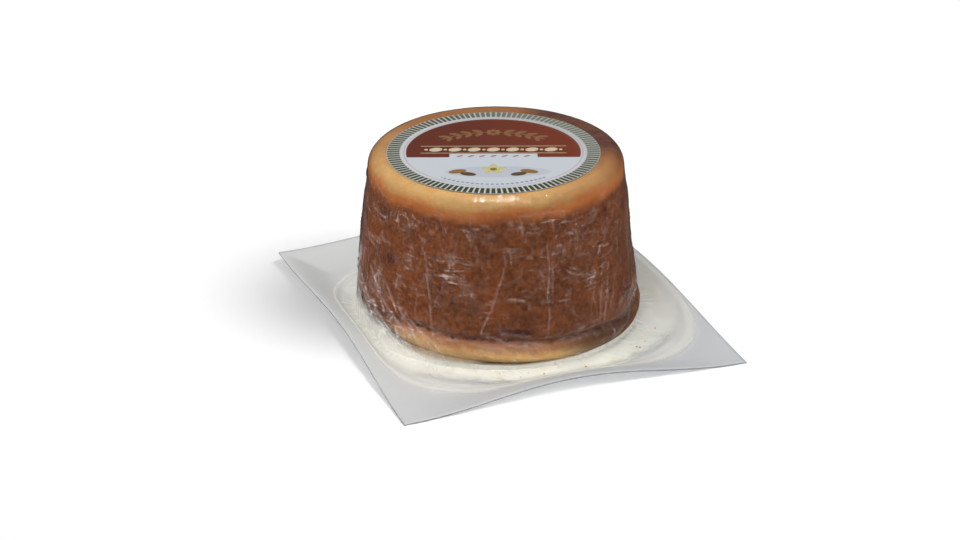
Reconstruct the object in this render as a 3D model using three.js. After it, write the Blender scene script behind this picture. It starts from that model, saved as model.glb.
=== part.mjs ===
// A vacuum-packed baked ricotta round, in millimetres with +Z up.
//
// Three pieces make it: the moulded round itself, as the skin film wraps it; the round paper label on
// its top; and the clear base sheet, which runs under the round and which the film is welded to.
// The origin is the middle of the base sheet's outline, on the surface that the pack stands on.
// The sheet's sides lie along X and Y. The round stands a little off the sheet's middle and leans.

import * as THREE from "three";

// Base sheet.
const SHEET_WIDTH = 168;
const SHEET_LENGTH = 187;
const SHEET_THICKNESS = 0.6;
const WHEY_RADIUS = 78; // the round pool of whey round the foot ends here
const LOOSE_REACH = 85; // mean reach of the film that isn't welded down, from the foot's middle
const LOOSE_SQUARENESS = 6; // how much further it reaches towards the sheet's corners
const LOOSE_RISE = 0.5; // how far the loose film stands over the welded film
const LOOSE_SLOPE = 5; // the width over which it comes down to the weld
// The corners in turn: how far each curls up, and how far the middle of the side that runs from it to
// the next corner arches up and bows in.
const CORNERS = [
  { curl: 0, arch: 7, bow: 2 }, // front left, then the front side
  { curl: 0, arch: 6, bow: 2 }, // front right, then the right side
  { curl: 2, arch: 6.5, bow: 2 }, // back right, then the back side
  { curl: 5, arch: 3.5, bow: 2 }, // back left, then the left side
];
const RISE_START = 0.74; // the sheet lies flat out to this share of its half width and half length

// Moulded round.
const ROUND_HEIGHT = 83.5;
const ROUND_GAP = 0.1; // clear of the base sheet
const FOOT_RADIUS = 53.5;
const GIRTH_RADIUS = 66.2; // the widest ring, just over the bevelled foot
const GIRTH_HEIGHT = 12.6;
const TOP_RADIUS = 60; // where the side would meet the top if the shoulder were square
const SHOULDER_RADIUS = 7.6;
const FOOT_MIDDLE = new THREE.Vector2(3.4, -2.6);
const GIRTH_MIDDLE = new THREE.Vector2(-2.5, 2.7);
const TOP_MIDDLE = new THREE.Vector2(-3.5, 1.1);

// The baked skin on the side: dents and swellings, a fold where it hangs over the paler foot, and a
// low ledge where the side leaves the smooth shoulder.
const DENT_COUNT = 46;
const DENT_SEED = 4;
const DENT_DEPTH = 0.6;
const DENT_WIDTH = [5, 14];
const DENT_FLATNESS = 1.4; // how much wider a dent is than it is high
const FOLD_HEIGHT = 13.8; // mean height over the foot
const FOLD_DEPTH = 1.5;
const FOLD_WIDTH = 1.7;
const FOLD_WAVES = [
  { count: 2, rise: 2.6, phase: 0.4 },
  { count: 5, rise: 0.5, phase: 2.1 },
  { count: 9, rise: 0.4, phase: 0 },
];
const OVERHANG = 0.4; // how far the skin stands out over the fold
const OVERHANG_FADE = [8, 26]; // and over what heights above the fold it runs out
const LEDGE_HEIGHT = 65;
const LEDGE_STEP = 0.3;
const LEDGE_WIDTH = 6;
const SKIN_MARGIN = [2, 9]; // from the foot and from the top, where the relief sets in

// Label.
const LABEL_RADIUS = 50;
const LABEL_THICKNESS = 0.3;
const LABEL_GAP = 0.15; // the film lies between the label and the round
const LABEL_MIDDLE = new THREE.Vector2(-5.9, -2.1);

// How finely the pieces are faceted. Eight divides the turns, so that a row ends at each corner.
const TURNS = 88;
const WALL_ROWS = 17;
const FOLD_ROWS = 7;
const FOLD_ROWS_HEIGHT = 8;
const ARC_ROWS = 7;

const ROUND_BASE = SHEET_THICKNESS + ROUND_GAP;
const ROUND_TOP = ROUND_BASE + ROUND_HEIGHT;

const { smoothstep, lerp, clamp, seededRandom } = THREE.MathUtils;

// A closed body turned about +Z from its outline, given as [radius, height] from the lowest point on
// the axis, out and up, and back to the axis.
function turned(outline) {
  const points = outline.map(([radius, height]) => new THREE.Vector2(radius, height));
  return new THREE.LatheGeometry(points, TURNS).rotateX(Math.PI / 2);
}

// Moves every vertex of a geometry by a function of its place, which changes the place given to it.
function reshape(geometry, move) {
  const position = geometry.getAttribute("position");
  const place = new THREE.Vector3();
  for (let i = 0; i < position.count; i++) {
    move(place.fromBufferAttribute(position, i));
    position.setXYZ(i, place.x, place.y, place.z);
  }
  geometry.computeVertexNormals();
  return geometry;
}

function inSteps(count, point) {
  return Array.from({ length: count }, (_, i) => point((i + 1) / count));
}

// The round's outline: flat foot, bevel, side with close rows at the fold, shoulder, flat top.
function roundOutline() {
  const foldTop = GIRTH_HEIGHT + FOLD_ROWS_HEIGHT;
  const sideTop = ROUND_HEIGHT - SHOULDER_RADIUS;
  const sideRadius = (height) =>
    lerp(GIRTH_RADIUS, TOP_RADIUS, (height - GIRTH_HEIGHT) / (sideTop - GIRTH_HEIGHT));
  const sideRow = (height) => [sideRadius(height), height];
  const bevel = inSteps(ARC_ROWS, (t) => {
    const angle = (t * Math.PI) / 2;
    return [
      lerp(FOOT_RADIUS, GIRTH_RADIUS, Math.sin(angle)),
      GIRTH_HEIGHT * (1 - Math.cos(angle)),
    ];
  });
  const fold = inSteps(FOLD_ROWS, (t) => sideRow(lerp(GIRTH_HEIGHT, foldTop, t)));
  const wall = inSteps(WALL_ROWS, (t) => sideRow(lerp(foldTop, sideTop, t)));
  const shoulder = inSteps(ARC_ROWS, (t) => {
    const angle = (t * Math.PI) / 2;
    return [
      TOP_RADIUS - SHOULDER_RADIUS * (1 - Math.cos(angle)),
      sideTop + SHOULDER_RADIUS * Math.sin(angle),
    ];
  });
  return [[0, 0], [FOOT_RADIUS, 0], ...bevel, ...fold, ...wall, ...shoulder, [0, ROUND_HEIGHT]];
}

// Dents and swellings, placed at random over the side.
function scatterDents() {
  seededRandom(DENT_SEED);
  return Array.from({ length: DENT_COUNT }, () => ({
    angle: seededRandom() * 2 * Math.PI,
    height: lerp(GIRTH_HEIGHT, ROUND_HEIGHT, seededRandom()),
    width: lerp(...DENT_WIDTH, seededRandom()),
    depth: DENT_DEPTH * (2 * seededRandom() - 1),
  }));
}

function dentRelief(dents, angle, height) {
  return dents.reduce((sum, dent) => {
    const turn = Math.atan2(Math.sin(angle - dent.angle), Math.cos(angle - dent.angle));
    const across = turn * GIRTH_RADIUS;
    const up = (height - dent.height) * DENT_FLATNESS;
    return sum + dent.depth * Math.exp(-(across ** 2 + up ** 2) / (2 * dent.width ** 2));
  }, 0);
}

// The fold's height round the side, a wandering line.
function foldHeight(angle) {
  return FOLD_WAVES.reduce(
    (sum, { count, rise, phase }) => sum + rise * Math.sin(count * angle + phase),
    FOLD_HEIGHT,
  );
}

// What the baked skin adds to the side's radius.
function skinRelief(dents, angle, height) {
  const aboveFold = height - foldHeight(angle);
  const groove = -FOLD_DEPTH * Math.exp(-((aboveFold / FOLD_WIDTH) ** 2));
  const overFold = smoothstep(aboveFold, 0, 2 * FOLD_WIDTH) * (1 - smoothstep(aboveFold, ...OVERHANG_FADE));
  const underLedge = 1 - smoothstep(height, LEDGE_HEIGHT - LEDGE_WIDTH / 2, LEDGE_HEIGHT + LEDGE_WIDTH / 2);
  const relief = groove + OVERHANG * overFold + LEDGE_STEP * underLedge + dentRelief(dents, angle, height);
  return relief * smoothstep(height, ...SKIN_MARGIN) * smoothstep(ROUND_HEIGHT - height, ...SKIN_MARGIN);
}

// Where the round's middle lies at a height: it leans off its foot.
function middleAt(height) {
  if (height < GIRTH_HEIGHT) {
    return FOOT_MIDDLE.clone().lerp(GIRTH_MIDDLE, height / GIRTH_HEIGHT);
  }
  return GIRTH_MIDDLE.clone().lerp(TOP_MIDDLE, (height - GIRTH_HEIGHT) / (ROUND_HEIGHT - GIRTH_HEIGHT));
}

function ricottaRound() {
  const dents = scatterDents();
  return reshape(turned(roundOutline()), (place) => {
    const radius = Math.hypot(place.x, place.y);
    const height = place.z;
    const angle = Math.atan2(place.y, place.x);
    const grown = radius > 0 ? (radius + skinRelief(dents, angle, height)) / radius : 1;
    const middle = middleAt(height);
    place.set(place.x * grown + middle.x, place.y * grown + middle.y, height + ROUND_BASE);
  });
}

function roundLabel() {
  const base = ROUND_TOP + LABEL_GAP;
  const top = base + LABEL_THICKNESS;
  return turned([
    [0, base],
    [LABEL_RADIUS, base],
    [LABEL_RADIUS, top],
    [0, top],
  ]).translate(LABEL_MIDDLE.x, LABEL_MIDDLE.y, 0);
}

// How far the loose film reaches from the foot's middle, in a direction.
function looseReach(angle) {
  return LOOSE_REACH - LOOSE_SQUARENESS * Math.cos(4 * angle);
}

// The sheet's outline before it curls, in a direction given as a point on the unit circle: the point
// there, the corner before it, the share of the side that lies between them, and the way out.
function sheetOutline(way) {
  const toSide = Math.max(Math.abs(way.x), Math.abs(way.y));
  const x = way.x / toSide;
  const y = way.y / toSide;
  const point = new THREE.Vector2((x * SHEET_WIDTH) / 2, (y * SHEET_LENGTH) / 2);
  const isAcross = Math.abs(way.y) > Math.abs(way.x);
  if (isAcross && y < 0) return { point, corner: 0, share: (1 + x) / 2, out: new THREE.Vector2(0, -1) };
  if (!isAcross && x > 0) return { point, corner: 1, share: (1 + y) / 2, out: new THREE.Vector2(1, 0) };
  if (isAcross) return { point, corner: 2, share: (1 - x) / 2, out: new THREE.Vector2(0, 1) };
  return { point, corner: 3, share: (1 - y) / 2, out: new THREE.Vector2(-1, 0) };
}

// The base sheet is turned as a disc whose rings run from 0 to 1 inside the whey's circle, and from 1
// to 2 between that circle and the rectangular outline. Then it is drawn out, arched and curled.
function baseSheet() {
  const innerRings = [0.67, 0.77, 0.88, 1];
  const outerRings = [1.12, 1.25, 1.4, 1.55, 1.7, 1.85, 2];
  const rings = [...innerRings, ...outerRings];
  const outline = [
    [0, 0],
    ...rings.map((ring) => [ring, 0]),
    ...rings.map((ring) => [ring, 1]).reverse(),
    [0, 1],
  ];
  return reshape(turned(outline), (place) => {
    const ring = Math.hypot(place.x, place.y);
    const isTop = place.z > 0.5;
    const angle = Math.atan2(place.y, place.x);
    const way = new THREE.Vector2(Math.cos(angle), Math.sin(angle));
    const { point, corner, share, out } = sheetOutline(way);
    const inner = way.clone().multiplyScalar(WHEY_RADIUS * Math.min(ring, 1)).add(FOOT_MIDDLE);
    const flat = inner.lerp(point, clamp(ring - 1, 0, 1));

    const { curl, arch, bow } = CORNERS[corner];
    const nextCurl = CORNERS[(corner + 1) % CORNERS.length].curl;
    const bulge = Math.sin(Math.PI * share) ** 2;
    const outwards = Math.max((2 * Math.abs(flat.x)) / SHEET_WIDTH, (2 * Math.abs(flat.y)) / SHEET_LENGTH);
    const rise = smoothstep(outwards, RISE_START, 1);
    const lift = rise * (lerp(curl, nextCurl, share) + arch * bulge);

    const fromFoot = flat.clone().sub(FOOT_MIDDLE);
    const inFilm = looseReach(fromFoot.angle()) - fromFoot.length();
    const underFilm = smoothstep(fromFoot.length(), FOOT_RADIUS, GIRTH_RADIUS);
    const loose = LOOSE_RISE * underFilm * smoothstep(inFilm, -LOOSE_SLOPE / 2, LOOSE_SLOPE / 2);

    flat.addScaledVector(out, -bow * bulge * rise);
    place.set(flat.x, flat.y, lift + (isTop ? SHEET_THICKNESS + loose : 0));
  });
}

function piece(name, geometry, finish) {
  const mesh = new THREE.Mesh(geometry, new THREE.MeshStandardMaterial(finish));
  mesh.name = name;
  return mesh;
}

const pack = new THREE.Group();
pack.name = "vacuum_packed_ricotta";
pack.add(
  piece("pack_sheet", baseSheet(), { color: "#cfd0d0", roughness: 0.25, metalness: 0 }),
  piece("ricotta_round", ricottaRound(), { color: "#75432a", roughness: 0.3, metalness: 0 }),
  piece("round_label", roundLabel(), { color: "#8e3a2c", roughness: 0.4, metalness: 0 }),
);

export default pack;
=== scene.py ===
# The looks of a vacuum-packed baked ricotta round: the baked round, the skin film shrunk over it, the
# whey and crumbs under the film, the clear base sheet and the printed paper label.
# Everything is in metres, +Z up. Print on the label is laid out in millimetres from its middle.
import math

import bpy
import numpy as np
from bpy.props import FloatProperty, FloatVectorProperty, IntProperty, PointerProperty
from mathutils import Matrix, Quaternion, Vector, noise


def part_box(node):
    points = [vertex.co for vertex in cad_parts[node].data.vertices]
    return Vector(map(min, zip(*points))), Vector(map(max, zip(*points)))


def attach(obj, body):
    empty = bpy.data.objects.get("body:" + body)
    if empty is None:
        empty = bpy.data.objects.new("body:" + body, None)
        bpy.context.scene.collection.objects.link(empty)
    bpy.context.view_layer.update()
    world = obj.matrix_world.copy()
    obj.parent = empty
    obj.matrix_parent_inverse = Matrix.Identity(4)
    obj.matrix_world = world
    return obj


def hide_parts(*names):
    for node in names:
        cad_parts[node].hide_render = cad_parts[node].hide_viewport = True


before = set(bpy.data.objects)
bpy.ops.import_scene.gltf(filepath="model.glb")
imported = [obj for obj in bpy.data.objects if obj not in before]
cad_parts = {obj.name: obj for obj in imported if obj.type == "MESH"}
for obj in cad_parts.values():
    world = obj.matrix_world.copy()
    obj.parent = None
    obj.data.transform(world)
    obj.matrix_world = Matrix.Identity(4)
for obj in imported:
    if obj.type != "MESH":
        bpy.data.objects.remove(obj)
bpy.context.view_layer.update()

bl_info = {
    "name": "Vacuum-Packed Ricotta Round",
    "version": (1, 0, 0),
    "blender": (4, 5, 0),
    "location": "3D View > Sidebar > Ricotta",
    "description": "Dresses a baked ricotta round in its film, with its label, whey and base sheet",
    "category": "Add Mesh",
}

MM = 0.001
ROUND_LOW, ROUND_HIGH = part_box("ricotta_round")
SHEET_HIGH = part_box("pack_sheet")[1]
LABEL_LOW, LABEL_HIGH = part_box("round_label")
ROUND_HEIGHT = ROUND_HIGH.z - ROUND_LOW.z

# The round leans: its middle at the foot, at the widest ring and at the top.
FOOT_MIDDLE = np.array([3.4, -2.6]) * MM
GIRTH_MIDDLE = np.array([-2.5, 2.7]) * MM
TOP_MIDDLE = np.array([-3.5, 1.1]) * MM
LABEL_MIDDLE = (LABEL_LOW + LABEL_HIGH) / 2
PRINT_TURN = math.radians(21.25)  # the print stands upright to someone who looks along this way

# The fold over the foot wanders: waves round the side, each with its count, rise and phase.
FOLD_WAVES = [(2, 2.6 * MM, 0.4), (5, 0.5 * MM, 2.1), (9, 0.4 * MM, 0.0)]
OVERHANG_FADE = (8 * MM, 26 * MM)
SKIN_MARGIN = (2 * MM, 9 * MM)
DENT_WIDTH = (5 * MM, 14 * MM)
DENT_FLATNESS = 1.4
ARC_POINTS = 40
BEVEL_LENGTH = 18.4 * MM  # along the outline, from the widest ring to the foot

TOP_GAP = 0.07 * MM  # the film lies this close on the flat top
PAST_WELD = 1.2 * MM  # how far the film runs on past the weld
WELD_WIDTH = 2.2 * MM
STRAY_HAZE_SPOTS = 60

AIM_HEIGHT = 40 * MM  # the camera and the lights look at this height
SUN_DISTANCE = 2.0
SPARK_DISTANCE = 1.3

# The sheet's corners in turn from the front left: how far each curls up, and how far the side that
# runs on from it arches up. All sides bow in alike.
CORNER_CURLS = np.array([0, 0, 2, 5]) * MM
SIDE_ARCHES = np.array([7, 6, 6.5, 3.5]) * MM
SIDE_BOW = 2 * MM

# Round the pack, at angles in degrees: where the film leaves the round's side, how far outside the
# widest ring it comes down, and how high the whey stands behind it.
TENT_ANGLES = [-180, -165, -150, -138, -112, -60, -30, 10, 60, 110, 150, 180]
TENT_HEIGHTS = np.array([24, 22, 18, 11, 4.4, 5.5, 13, 17, 20, 16, 22, 24]) * MM
TENT_STANDS = np.array([1.5, 1.5, 1.4, 1.1, 0.8, 0.9, 1.5, 2, 2.4, 2.4, 1.8, 1.5]) * MM
WHEY_BANKS = np.array([4.5, 4.2, 3.6, 3, 2.2, 2.6, 4, 6, 6, 5, 5, 4.5]) * MM
# At the same angles, from 0 to 1: how much browner the round is there, and how pale its foot is. The browner
# right side and the darker foot at the sides are partly baked colour and partly painted shade.
BAKED_AND_SHADED_SHARES = np.array([0.15, 0.1, 0.05, 0, 0, 0.45, 1, 1, 1, 1, 0.55, 0.15])
PALE_FOOT_AND_SHADE_SHARES = np.array([0.1, 0.3, 0.75, 1, 1, 0.08, 0, 0.1, 0.4, 0.3, 0.2, 0.1])

# Spots on the side: angle in degrees, height, half width, half height, and how much.
# Where it is baked more orange (over 0) or darker (under 0).
BAKE_SPOTS = [
    (-179, 55, 5, 8, 0.9), (-160.6, 45.5, 6, 4.5, -0.9), (-164, 35.5, 3.5, 2.5, 0.9),
    (-162, 24.5, 5, 2.6, 1.0), (-145, 23, 10, 3.2, 0.8), (-112, 47, 7, 13, 0.8), (-110, 29, 6, 5, 1.0),
    (-103.8, 43, 4, 4, -0.7), (-131, 41, 4, 5, -0.6), (-147, 44, 4, 7, 0.5), (-97, 46, 7, 9, 0.4),
    (-76, 33, 9, 5, 0.5), (-76, 52, 5, 8, 0.4), (-108, 19, 9, 2.4, -0.9), (-100, 18, 4, 2, -1.0),
    (-56, 66, 3, 6, -0.7), (-46, 64, 3, 8, -0.5), (-59, 28, 4, 6, -0.5), (-168, 66, 9, 4, -0.7),
    (-150, 62, 9, 4, -0.5),
]
# Where the film is shrunk into small puckers.
PUCKERS = [
    (-116, 81.6, 13, 1.3, 1.0), (-107, 83.0, 11, 0.7, 1.0), (-99, 80.4, 12, 1.2, 1.0),
    (-86, 81.4, 2, 1.6, 1.0), (-108, 13, 11, 4, 0.8), (-113, 4.2, 8, 2.2, 1.6), (-113, -6, 9, 3, 1.3),
    (-98, 4.2, 3, 2, 1.6), (-79, 4.8, 4, 2.2, 1.5), (-133, 4.2, 4, 2, 1.5), (-146, 3, 3, 2, 1.2),
    (-160, 4, 3, 2, 1.2),
]
# Where the film is hazy.
HAZE_SPOTS = [
    (-131, 50, 9, 5, 1.0), (-129, 43, 7, 4, 0.8), (-97, 70, 10, 4, 0.9), (-62, 50, 7, 7, 0.9),
    (-66, 40, 7, 2.5, 1.0), (-76, 15.5, 9, 3, 0.9), (-153, 67, 8, 4, 0.9), (-171, 58, 5, 8, 0.8),
    (-149, 51, 4, 5, 0.7), (-116, 25, 2.5, 6, 0.8), (-84, 53, 5, 8, 0.8), (-61, 30, 4, 9, 0.8),
    (-168, 33, 8, 6, 0.9), (-158, 24, 8, 6, 0.7), (-172, 17, 15, 9, 1.9), (-150, 13, 14, 6, 1.9),
    (170, 46, 9, 20, 1.2), (-112, 8, 30, 6, 0.7), (-140, 66, 16, 3, 0.6), (-72, 68, 14, 3, 0.6),
]

# Creases in the film: from an angle in degrees and a height to an angle and a height, how far the
# middle of each bows aside, and how strong it is. Heights below 0 run on over the sheet.
CREASES = [
    (-143.6, 57, -141, 46, 0.5, 0.5), (-141.6, 47, -138.6, 30, -0.4, 0.7), (-139.4, 32, -137.4, 10, 0.3, 0.6),
    (-108.4, 60, -107.6, 50, 0.4, 0.35), (-108, 51, -111.2, 40, 0.8, 0.5), (-110.6, 42, -114.5, 27, 0.5, 0.6),
    (-113.8, 29, -118, 17, -0.5, 0.7), (-89.8, 62, -89, 44, 0.3, 0.5), (-89, 46, -90.5, 30, -0.4, 0.6),
    (-90, 31, -91.5, 14, 0.5, 0.5), (-87.6, 54, -88.3, 35, 0.3, 0.4), (-59, 37, -61.5, 24, 0.6, 0.6),
    (-61, 26, -64, 9, -0.5, 0.6), (-62.5, 33, -66, 14, -0.8, 0.4), (-55, 31, -60, 20, 0.6, 0.5),
    (-116, 33.4, -108, 34.7, 0.5, 0.45), (-107.5, 34.6, -99, 33.6, 0.7, 1.0), (-82, 46.5, -72, 41, -0.8, 0.7),
    (-73, 41.4, -60, 38.5, -0.6, 0.4), (-94, 33, -87, 31.6, 0.4, 0.5), (-86, 31.8, -80, 31.4, 0.2, 0.6),
    (-103, 75.6, -91, 75.6, -0.4, 0.5), (-92, 75.8, -78, 74.2, -0.3, 0.5), (-180, 78, -168, 72.5, 0.6, 0.6),
    (-132, 52, -123, 53, 0.2, 0.5), (-122, 68.6, -118, 68.8, 0, 0.7), (-118, 70.8, -114, 70.4, 0, 0.6),
    (-108.4, 59, -103, 58, 0.3, 0.6), (-80, 63, -76, 62, 0.2, 0.7), (-99, 55, -95.6, 54, 0.2, 0.6),
    (166, 31, -174, 19, 1.0, 1.2), (-178, 36, -166, 27, 0.8, 1.2), (-172, 31, -160, 21, -0.6, 1.2),
    (170, 26, -171, 14, 0.9, 1.2), (-176, 22, -156, 9, 1.0, 1.3), (-166, 25, -150, 12, 0.8, 1.1),
    (-163, 33, -154, 19, 0.5, 1.1), (-156, 27, -143, 10, -0.6, 1.1), (-150, 21, -136, 6, 0.5, 1.1),
    (-143, 15, -130, 3, 0.4, 1.0), (-172, 16, -150, 4, 0.8, 1.2), (-117, 17.5, -108, 13.5, 1.2, 0.7),
    (-109, 14, -98, 12.5, -0.9, 0.6), (-112, 20, -97, 17, -0.5, 0.5), (-119, 12, -108, 9, 1.0, 0.7),
    (-106, 14, -92, 11, 0.8, 0.6),
]


def srgb(red, green, blue):
    """A colour given as it shows on a screen, 0 to 255, as Blender's linear one."""
    shares = [value / 255 for value in (red, green, blue)]
    return tuple(s / 12.92 if s <= 0.04045 else ((s + 0.055) / 1.055) ** 2.4 for s in shares)


def length(name, description, millimetres):
    return FloatProperty(name=name, description=description, default=millimetres * MM, unit="LENGTH")


def amount(name, description, default, **limits):
    return FloatProperty(name=name, description=description, default=default, min=0, **limits)


def count(name, description, default, least=0):
    return IntProperty(name=name, description=description, default=default, min=least)


def tint(name, description, *colour):
    return FloatVectorProperty(
        name=name, description=description, default=srgb(*colour), subtype="COLOR", size=3, min=0, max=1
    )


class RoundSizes(bpy.types.PropertyGroup):
    foot_radius: length("Foot Radius", "Radius of the flat foot", 53.5)
    girth_radius: length("Girth Radius", "Radius of the widest ring", 66.2)
    girth_height: length("Girth Height", "Height of the widest ring over the foot", 12.6)
    top_radius: length("Top Radius", "Radius where the side would meet the top", 60)
    shoulder_radius: length("Shoulder Radius", "Rounding of the shoulder", 7.6)
    fold_height: length("Fold Height", "Mean height of the fold over the foot", 13.8)
    fold_depth: length("Fold Depth", "Depth of the fold", 1.5)
    fold_width: length("Fold Width", "Half width of the fold", 1.7)
    overhang: length("Overhang", "How far the skin stands out over the fold", 0.4)
    ledge_height: length("Ledge Height", "Height of the ledge under the shoulder", 65)
    ledge_step: length("Ledge Step", "How far the side stands out under the ledge", 0.3)
    ledge_width: length("Ledge Width", "Height over which the ledge runs out", 6)
    dent_depth: length("Dent Depth", "Depth of the deepest dents", 0.6)
    dent_count: count("Dents", "Dents and swellings", 46)
    dent_seed: count("Dent Seed", "Seed of the dents", 4)
    bake_spots: count("Bake Spots", "Stray spots baked more or less", 46)
    crust_relief: length("Crust Relief", "Fine unevenness of the baked skin", 0.55)
    turns: count("Turns", "Sides before subdivision", 144, 24)


class FilmSizes(bpy.types.PropertyGroup):
    gap: length("Gap", "Distance of the film from the baked skin", 0.36)
    reach: length("Reach", "Mean reach of the loose film from the foot's middle", 85)
    squareness: length("Squareness", "How much further it reaches to the corners", 6)
    lift: length("Lift", "Height of the loose film over the sheet", 0.5)
    crease_rise: length("Crease Rise", "Height of a strong crease", 0.7)
    crease_width: length("Crease Width", "Half width of a crease", 0.48)
    pleat_rise: length("Pleat Rise", "Height of the pleats where the film leaves the side", 0.6)
    pucker_rise: length("Pucker Rise", "Height of the small puckers", 0.8)
    stray_creases: count("Stray Creases", "Small creases", 240)
    pleats: count("Pleats", "Pleats round the foot", 82)
    seed: count("Seed", "Seed of the stray creases", 11)
    turns: count("Turns", "Sides before subdivision", 172, 24)


class SheetSizes(bpy.types.PropertyGroup):
    thickness: length("Thickness", "Thickness of the base sheet", 0.6)
    rise_start: amount("Rise Start", "Share of the half width that lies flat", 0.74, max=1)
    cuts: count("Cuts", "Cuts along each side of the grid", 150, 8)
    weld_bead: length("Weld Bead", "Height of the ridge along the weld", 0.22)


class WheySizes(bpy.types.PropertyGroup):
    inner_radius: length("Inner Radius", "The pool's edge under the round", 50)
    outer_radius: length("Outer Radius", "Mean outer edge of the pool", 80)
    depth: length("Depth", "Depth of the pool over the sheet", 0.34)
    clearance: length("Clearance", "From the whey to the film that holds it", 0.14)
    crumbs: count("Crumbs", "Crumbs of baked skin", 26)
    seed: count("Seed", "Seed of the crumbs", 5)


class PackColours(bpy.types.PropertyGroup):
    crust_deep: tint("Deep Crust", "Darkest brown of the side", 88, 48, 30)
    crust_brown: tint("Brown Crust", "Brown of the side", 142, 79, 44)
    crust_orange: tint("Orange Crust", "Brightest patches of the side", 140, 74, 32)
    crust_olive: tint("Olive Crust", "Dull patches of the side", 102, 68, 40)
    crust_plum: tint("Plum Crust", "Darkest patches of the side", 74, 38, 31)
    rim_orange: tint("Orange Rim", "Where gold turns to brown", 194, 118, 64)
    rim_gold: tint("Gold Rim", "The pale baked shoulder", 205, 169, 108)
    # The brown of the rim where it is baked more, which also lays painted shade on the right side.
    rim_brown: tint("Brown Rim", "The shoulder where it is baked more", 140, 84, 40)
    burnt: tint("Burnt", "Burnt patch on the top rim", 84, 40, 31)
    foot_gold: tint("Foot Gold", "The pale band under the fold", 240, 196, 130)
    foot_pink: tint("Foot Pink", "Where the pale band meets the fold", 176, 118, 84)
    whey: tint("Whey", "The milky whey", 240, 240, 230)
    whey_yellow: tint("Yellow Whey", "Thicker streaks in the whey", 236, 231, 202)
    # The tint of thin whey patches, and also the painted shade where the whey meets the round's foot.
    thin_whey_and_shade: tint("Whey Shade", "Thin whey that stands against the round", 112, 110, 88)
    # The sheet's two colours: lighter on its left, as painted light where the round's shadow falls, and
    # darker on its right and front.
    sheet: tint("Sheet", "The clear sheet on its clouded side", 202, 203, 202)
    sheet_right_front: tint("Clear Sheet", "The clear sheet on its clearer side", 183, 185, 187)
    paper: tint("Paper", "The label's paper under its print", 217, 218, 219)
    field: tint("Field", "Dark red field of the label", 106, 46, 27)
    rays: tint("Rays", "Dark rays of the label's border", 66, 68, 54)


class StageSizes(bpy.types.PropertyGroup):
    lens: FloatProperty(name="Lens", description="Focal length", default=103.78, unit="CAMERA")
    distance: length("Distance", "From the camera to the round's middle", 1315.5)
    elevation: FloatProperty(
        name="Elevation", description="Camera's height as an angle", default=math.radians(24.05),
        subtype="ANGLE",
    )
    floor: length("Floor", "Length of the floor", 16000)
    right_light: amount("Right Light", "Strength of the low light from the right", 1.35)
    front_light: amount("Front Light", "Strength of the light from the front left", 1.7)
    top_light: amount("Top Light", "Strength of the light from overhead", 1.2)
    floor_light: amount("Floor Light", "Strength of the light that shades the floor", 2.1)
    even_floor_light: amount("Even Floor Light", "Strength of the floor's light without shadow", 0.95)
    spark_light: amount("Spark Light", "Power of each small light that the film glints in", 18.0)
    sky: amount("Sky", "Strength of the light from all round", 0.36)


# ---------------------------------------------------------------------------------------------- maths


def smoothstep(value, low, high):
    t = np.clip((value - low) / (high - low), 0, 1)
    return t * t * (3 - 2 * t)


def lerp(a, b, t):
    return a + (b - a) * t


def ways(angle):
    return np.stack([np.cos(angle), np.sin(angle)], axis=1)


def turn_from(start, angle):
    """The shortest turn from one angle to another."""
    off = angle - start
    return np.arctan2(np.sin(off), np.cos(off))


def flat_noise(flat_places, scale, seed):
    """A number that wanders smoothly from place to place."""
    scaled = (flat_places * scale).tolist()
    return np.array([noise.noise(Vector((x, y, seed))) for x, y in scaled])


def round_the_pack(angle, values):
    """A value round the pack, eased between the tent's angles."""
    degrees = np.degrees(angle)
    place = np.interp(degrees, TENT_ANGLES, np.arange(len(TENT_ANGLES)))
    step = np.minimum(place.astype(int), len(TENT_ANGLES) - 2)
    return lerp(values[step], values[step + 1], smoothstep(place - step, 0, 1))


def soft_spots(angle, height, spots):
    """The sum of soft-edged spots on the side."""
    total = np.zeros_like(angle)
    for spot_angle, spot_height, half_width, half_height, share in spots:
        turn = turn_from(math.radians(spot_angle), angle)
        across = turn * pack().round.girth_radius / (half_width * MM)
        up = (height - spot_height * MM) / (half_height * MM)
        total += share * np.exp(-(across**2 + up**2))
    return total


def stray_spots(seed, spot_count, shares):
    """Spots like the named ones, placed at random over the whole side."""
    draw = np.random.default_rng(seed)
    spots = []
    for _ in range(spot_count):
        angle = draw.uniform(-180, 180)
        share = draw.choice(shares) * (0.5 if -170 < angle < -45 else 1.0)
        spots.append((angle, draw.uniform(17, 73), draw.uniform(3, 9), draw.uniform(2.5, 7), share))
    return spots


class SeededDraw:
    """The same seeded draws as the solid's source, so that the finer skin has the same dents."""

    WORD = 0xFFFFFFFF

    def __init__(self, seed):
        self.state = seed

    def __call__(self):
        self.state = (self.state + 0x6D2B79F5) & self.WORD
        t = self.state
        t = ((t ^ (t >> 15)) * (t | 1)) & self.WORD
        t ^= (t + (((t ^ (t >> 7)) * (t | 61)) & self.WORD)) & self.WORD
        return (t ^ (t >> 14)) / (self.WORD + 1)


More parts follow.
